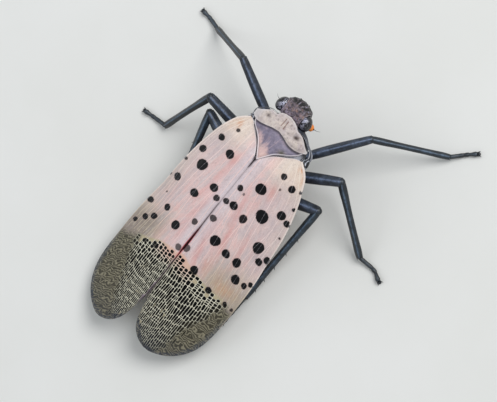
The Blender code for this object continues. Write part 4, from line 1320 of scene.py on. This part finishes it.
def thorax(paint):
    """Trunk between head and abdomen, pale under the wing roots, and its side plates."""
    grid = oval_rings(THORAX, 120, 150)
    n = outward(grid)
    x, y, z = (grid[..., k] for k in range(3))
    side = np.abs(x)
    flank = ease(side, 1.2, 2.2)
    seams = np.zeros_like(x)
    for place, lean in ((2.9, 0.25), (4.2, 0.35), (5.3, 0.3), (6.6, 0.25)):
        seams = np.maximum(seams, ridge(y - place - lean * z, 0.06))
    seams = np.maximum(seams, ridge(x, 0.05) * ease(-z, 0.8, 1.4))
    puff = speckle(grid, 1.3, 1.0) * 0.07
    rough = speckle(grid, 5.0, 3.0) * 0.014
    moved = grid + n * (puff + rough - seams * 0.11 + 0.02)[..., None]
    shape = Shape()
    under = ease(n[..., 2], 0.1, 0.5) * ease(y, 3.1, 3.5) * (1 - ease(y, 5.6, 6.4))
    shape.grid(body(moved), wrap=True, caps=True, place=moved, seam=np.clip(seams, 0, 0.9) * (1 - under),
               pale=np.clip(flank * ridge(seams - 0.35, 0.22, 0.55) + under, 0, 1))
    for sign in (-1, 1):
        side_band(shape, sign)
    return shape.make("thorax", paint)


def abdomen_paint():
    p = Paint("abdomen_rings", 0.5)
    grain = p.noise("place", 5.0, 6, 0.7)
    blotch = p.noise("place", 1.2, 4, 0.6, 0.3)
    tone = p.two(blotch, (226, 176, 50), (204, 150, 40))
    edge = p.sum("band", p.steps(grain, 0.2, 0.8, -0.12, 0.12))
    tone = p.mix(p.steps(edge, 0.42, 0.56), tone, (26, 22, 22))
    dust = p.times(p.steps(grain, 0.52, 0.75), 0.4)
    tone = p.coats(tone, (
        (dust, (206, 200, 190)),
        ("seam", (92, 60, 26))))
    p.colour(tone)
    return p.bump(grain, 0.03, 0.6).mat


def abdomen(paint):
    """Tapering rings that overlap backward, dark above and along the belly."""
    grid = oval_rings(ABDOMEN, 220, 120)
    n = outward(grid)
    x, y, z = (grid[..., k] for k in range(3))
    fold, band = np.zeros_like(x), np.zeros_like(x)
    edges = (8.0,) + SEGMENTS + (19.4,)
    for start, end in zip(edges, edges[1:]):
        t = (y - start) / (end - start)
        inside = (t >= 0) & (t < 1)
        fold = np.where(inside, 0.06 * np.sin(np.pi * np.clip(t, 0, 1)) ** 0.6 + 0.05 * t, fold)
        above = ease(z, -0.9, 0.1)
        wide = 0.62 * above + 0.28 * (1 - above) * ease(np.abs(x), 0.3, 1.5)
        band = np.where(inside, ease(wide - t, -0.06, 0.06) * 1.0, band)
    seam = np.zeros_like(x)
    for edge in SEGMENTS:
        seam = np.maximum(seam, ridge(y - edge, 0.05))
    flank = ridge(z + 0.75, 0.12) * ease(np.abs(x), 1.0, 1.8)
    rough = speckle(grid, 3.0, 3.0) * 0.02
    moved = grid + n * (fold - 0.06 - seam * 0.05 - flank * 0.1 + rough)[..., None]
    shape = Shape()
    shape.grid(body(moved), wrap=True, caps=True, place=moved, band=band,
               seam=np.clip(seam * 0.7 + flank * 0.4, 0, 1))
    return shape.make("abdomen", paint)


def tegula(side, paint):
    """Scale over the wing base: ridged lobes with pale waxy crests."""
    sign = SIDES[side][0]
    shape = Shape()

    def lobe(centre, radii, turn, stripes):
        sphere = round_ball(30, 48)
        crest = np.cos((sphere[..., 0] * sign * 1.3 + sphere[..., 2] * 0.5) * stripes)
        grow = 1 + 0.07 * crest + 0.04 * speckle(sphere, 2.4, 1.0)
        grid = (sphere * grow[..., None] * np.array(radii)) @ turn_z(turn).T + np.array(centre)
        shape.grid(body(grid), wrap=True, caps=True, flip=True, place=grid,
                   seam=ease(-crest, 0.0, 0.7) * 0.9,
                   pale=ease(crest, 0.5, 0.95) * ease(sphere[..., 2], -0.3, 0.5) * 0.8)

    lobe((sign * 3.02, 3.56, 0.5), (0.27, 0.44, 0.36), -sign * 0.25, 7.5)
    lobe((sign * 2.9, 3.62, 0.95), (0.3, 0.4, 0.22), -sign * 0.5, 9.0)
    lobe((sign * 3.12, 3.98, 0.5), (0.17, 0.26, 0.3), -sign * 0.2, 9.0)
    if side == "left":
        lobe((2.86, 3.5, 1.12), (0.4, 0.13, 0.14), 0.67, 6.0)
    return shape.make("tegula_" + side, paint)


# Legs

# Half widths along the hip, the thigh and the shin, and along each of the three foot joints
HIP = (0.3, 0.46, 0.47, 0.4, 0.3, 0.22)
THIGH = (0.2, 0.29, 0.34, 0.37, 0.38, 0.385, 0.38, 0.375, 0.37, 0.36, 0.345, 0.335, 0.33, 0.29)
SHIN = (0.26, 0.3, 0.3, 0.285, 0.265, 0.255, 0.25, 0.25, 0.25, 0.25, 0.255, 0.265, 0.275, 0.24)
FOOT = ((0.16, 0.19, 0.18, 0.175, 0.19, 0.16), (0.13, 0.18, 0.19, 0.16),
        (0.12, 0.15, 0.16, 0.19, 0.23, 0.18))
SPINES = (0.3, 0.46, 0.62, 0.76, 0.88)
LOWEST = 0.02  # a hair whose tip would be lower is left out


def keeled(angle):
    """Section of a limb with four low keels."""
    return 1 + 0.08 * np.cos(4 * angle) + 0.03 * np.cos(2 * angle)


def toward(a, b, distance):
    """Point at a distance from a on the way to b."""
    return a + unit(b - a) * distance


def arched(a, b, rise):
    """Three points of a slightly arched limb."""
    return a, (a + b) / 2 + ways(b - a)[2] * rise, b


def hairs(shape, a, b, radius, count, length, seed):
    """Short bristles that lean along a limb."""
    rng = np.random.default_rng(seed)
    ahead, side, up = ways(b - a)
    for _ in range(count):
        t, angle = rng.uniform(0.06, 0.97), rng.uniform(0, 2 * math.pi)
        out = math.cos(angle) * side + math.sin(angle) * up
        root = a + (b - a) * t + out * radius * 0.85
        tip = root + (out * 0.75 + ahead * 0.8) * length * rng.uniform(0.7, 1.2)
        if tip[2] > LOWEST:
            spike(shape, stand, root, tip, 0.011, sides=3)


def coxa(name, hip, root, paint):
    shape = Shape()
    path = hip + (0, 0, 0.25), toward(hip, root, -0.1), toward(root, hip, 0.3)
    tube(shape, stand, path, HIP, 22, count=26)
    ball(shape, stand, toward(root, hip, 0.12), (0.27,) * 3, rings=14, sides=20, joint=0.5)
    shape.make("coxa_" + name, paint)


def femur(name, root, knee, stout, seed, paint):
    """Thigh with a pair of small lobes that hold the knee."""
    shape = Shape()
    path = arched(toward(root, knee, 0.05), toward(knee, root, -0.08), 0.14)
    limb = tube(shape, stand, path, np.array(THIGH) * stout, 28, keeled, count=60)
    _, outer, _ = ways(limb[-1] - limb[-4])
    for sign in (-1, 1):
        lobe = limb[-4] + outer * sign * 0.2 * stout
        ball(shape, stand, lobe, np.array((0.15, 0.15, 0.2)) * stout, rings=12, sides=18, joint=0.25)
    hairs(shape, root, knee, 0.34 * stout, 60, 0.1, seed)
    shape.make("femur_" + name, paint)


def tibia(name, knee, ankle, stout, seed, paint):
    """Shin with a crown of short spines at its end, and on a hind leg a row along its outer side."""
    shape = Shape()
    path = arched(toward(knee, ankle, -0.2), toward(ankle, knee, 0.02), 0.1)
    tube(shape, stand, path, np.array(SHIN) * stout, 28, keeled, count=70)
    ball(shape, stand, knee, (0.32 * stout,) * 3, rings=14, sides=20, joint=0.1)
    hairs(shape, knee, ankle, 0.25 * stout, 120, 0.1, seed + 20)
    ahead, side, up = ways(ankle - knee)
    for k in range(7):
        angle = math.pi * 2 * k / 7
        out = math.cos(angle) * side + math.sin(angle) * up
        base = ankle + out * 0.2 * stout - ahead * 0.05
        tip = base + ahead * 0.18 + out * 0.07
        if tip[2] > LOWEST:
            spike(shape, stand, base, tip, 0.045)
    if name.startswith("hind"):
        outer = side if side[0] * np.sign(knee[0]) > 0 else -side
        for t in SPINES:
            base = knee + (ankle - knee) * t + outer * 0.2
            spike(shape, stand, base, base + outer * 0.24 + ahead * 0.22, 0.07)
    shape.make("tibia_" + name, paint)


def tarsus(name, ankle, toe, paint):
    """Three foot joints, two claws and the pad between them."""
    flat = unit((toe - ankle) * (1, 1, 0))
    across = np.array([-flat[1], flat[0], 0.0])
    bow = across * FOOT_BOW.get(name, 0.0) * np.sign(across[1] * -1)

    def at_height(spot, height):
        return np.array((spot[0], spot[1], height))

    second = at_height(ankle + (toe - ankle) * 0.5 + bow, 0.22)
    third = at_height(ankle + (toe - ankle) * 0.68 + bow, 0.19)
    tip = at_height(toe - flat * 0.12, 0.27)
    shape = Shape()
    paths = ((ankle, (ankle + second) / 2 + (0, 0, -0.06), second), (second - flat * 0.06, third),
             (third - flat * 0.04, (third + tip) / 2 + (0, 0, 0.05), tip))
    for path, radii, count in zip(paths, FOOT, (24, 14, 22)):
        tube(shape, stand, path, radii, 18, count=count)
    for sign in (-1, 1):
        root = tip + across * sign * 0.11
        claw = root + flat * 0.3 + across * sign * 0.14 + (0, 0, -0.2)
        spike(shape, stand, root, claw, 0.065, bend=flat * 0.05 + (0, 0, 0.09), joint=0.5)
    ball(shape, stand, at_height(tip + flat * 0.12, 0.1), (0.17, 0.17, 0.1), rings=12, sides=16, joint=0.4)
    ball(shape, stand, at_height(second, 0.07), (0.13, 0.13, 0.07), rings=10, sides=14, joint=0.4)
    hairs(shape, ankle, third, 0.17, 30, 0.08, len(name))
    shape.make("tarsus_" + name, paint)


def leg(name, joints, paint, shin_paint, foot_paint):
    hip, root, knee, ankle, toe = (np.array(p, float) for p in joints)
    thigh, shin = LEG_GIRTH[name.split("_")[0]]
    seed = sorted(LEGS).index(name)
    coxa(name, hip, root, paint)
    femur(name, root, knee, thigh, seed, paint)
    tibia(name, knee, ankle, shin, seed, shin_paint)
    tarsus(name, ankle, toe, foot_paint)


# Stage

def floor():
    """Round pale card."""
    mesh = bpy.data.meshes.new("floor")
    radius, sides = 1.2, 96
    angles = [2 * math.pi * k / sides for k in range(sides)]
    ring = [(radius * math.cos(a), radius * math.sin(a), 0.0) for a in angles]
    mesh.from_pydata(ring, [], [list(range(sides))])
    p = Paint("floor_card", 0.7)
    where = p.node("ShaderNodeTexCoord").outputs["Object"]
    p.colour(p.two(p.noise(where, 60.0, 5), (226, 226, 222), (230, 230, 227), 0.3, 0.7))
    mesh.materials.append(p.mat)
    linked("floor", mesh)


LAMP_AIM = (0, 0, 0.003)


def lamp(name, place, size, power, colour=(1, 1, 1)):
    light = bpy.data.lights.new(name, "AREA")
    light.shape, light.size, light.energy, light.color = "DISK", size, power, colour
    item = linked(name, light)
    item.location = place
    aim = Vector(LAMP_AIM) - Vector(place)
    item.rotation_euler = aim.to_track_quat("-Z", "Y").to_euler()


def lights():
    """Pale even studio light, a soft key from the front left and a weak fill."""
    scene = bpy.context.scene
    scene.view_settings.view_transform = "Standard"
    world = bpy.data.worlds.new("studio")
    world.use_nodes = True
    sky = world.node_tree.nodes["Background"].inputs
    sky["Color"].default_value, sky["Strength"].default_value = (0.92, 0.96, 1.0, 1), 0.46
    scene.world = world
    lamp("key", (-0.06, -0.20, 0.28), 0.22, 0.72)
    lamp("fill", (0.22, 0.12, 0.20), 0.24, 0.2, (0.93, 0.96, 1.0))


# The photograph's width in pixels, pixels per mm, and the camera's distance and sensor in mm
PHOTO_W, SCALE, RANGE, SENSOR = 497, 12.0, 260.0, 36.0
TURN, TILT_SIDE, TILT_FRONT = math.radians(50.5), math.radians(12.0), math.radians(4.0)
# What the camera looks at, in mm of the stance
TARGET = (-0.9581, 9.2875, 3.6067)


def camera():
    """Telephoto view from above, tilted to the animal's right, with its head to the upper right."""
    towards = Vector((-math.tan(TILT_SIDE), -math.tan(TILT_FRONT), 1.0)).normalized()
    head_way = Vector((0.0, -math.cos(PITCH), math.sin(PITCH)))
    e1 = (head_way - head_way.dot(towards) * towards).normalized()
    e2 = e1.cross(towards)
    right = math.cos(TURN) * e1 + math.sin(TURN) * e2
    up = math.sin(TURN) * e1 - math.cos(TURN) * e2
    place = Vector(stand(TARGET)) + towards * RANGE * MM
    lens = bpy.data.cameras.new("camera")
    lens.sensor_width, lens.sensor_fit = SENSOR, "HORIZONTAL"
    lens.lens = SCALE * RANGE / PHOTO_W * SENSOR
    lens.clip_start, lens.clip_end = 0.01, 20.0
    item = linked("camera", lens)
    item.matrix_world = Matrix((
        (right.x, up.x, towards.x, place.x), (right.y, up.y, towards.y, place.y),
        (right.z, up.z, towards.z, place.z), (0, 0, 0, 1)))
    bpy.context.scene.camera = item


def main():
    membrane, vein, lattice, red = wing_paint(), vein_paint(), net_paint(), hindwing_paint()
    plate_side, slate = thorax_paint(), dark_paint("leg_slate")
    ink = dark_paint("foot_slate", (14, 16, 17), (58, 68, 78), amount=0.6)
    shin = dark_paint("shin_slate", (10, 14, 17), (64, 78, 93), amount=0.8, reach=(0.2, 1.6, 0.35, 1.0))
    glass, orange = eye_paint(), feeler_paint()
    for side in ("left", "right"):
        forewing(side, membrane)
        forewing_veins(side, vein)
        net(side, lattice)
        hindwing(side, red)
        eye(side, glass)
        feeler(side, orange)
        tegula(side, plate_side)
    pronotum(pronotum_paint())
    mesonotum(mesonotum_paint())
    head(head_paint())
    beak(ink)
    thorax(plate_side)
    abdomen(abdomen_paint())
    for name, joints in LEGS.items():
        leg(name, joints, slate, shin, ink)
    floor()
    lights()
    camera()


main()
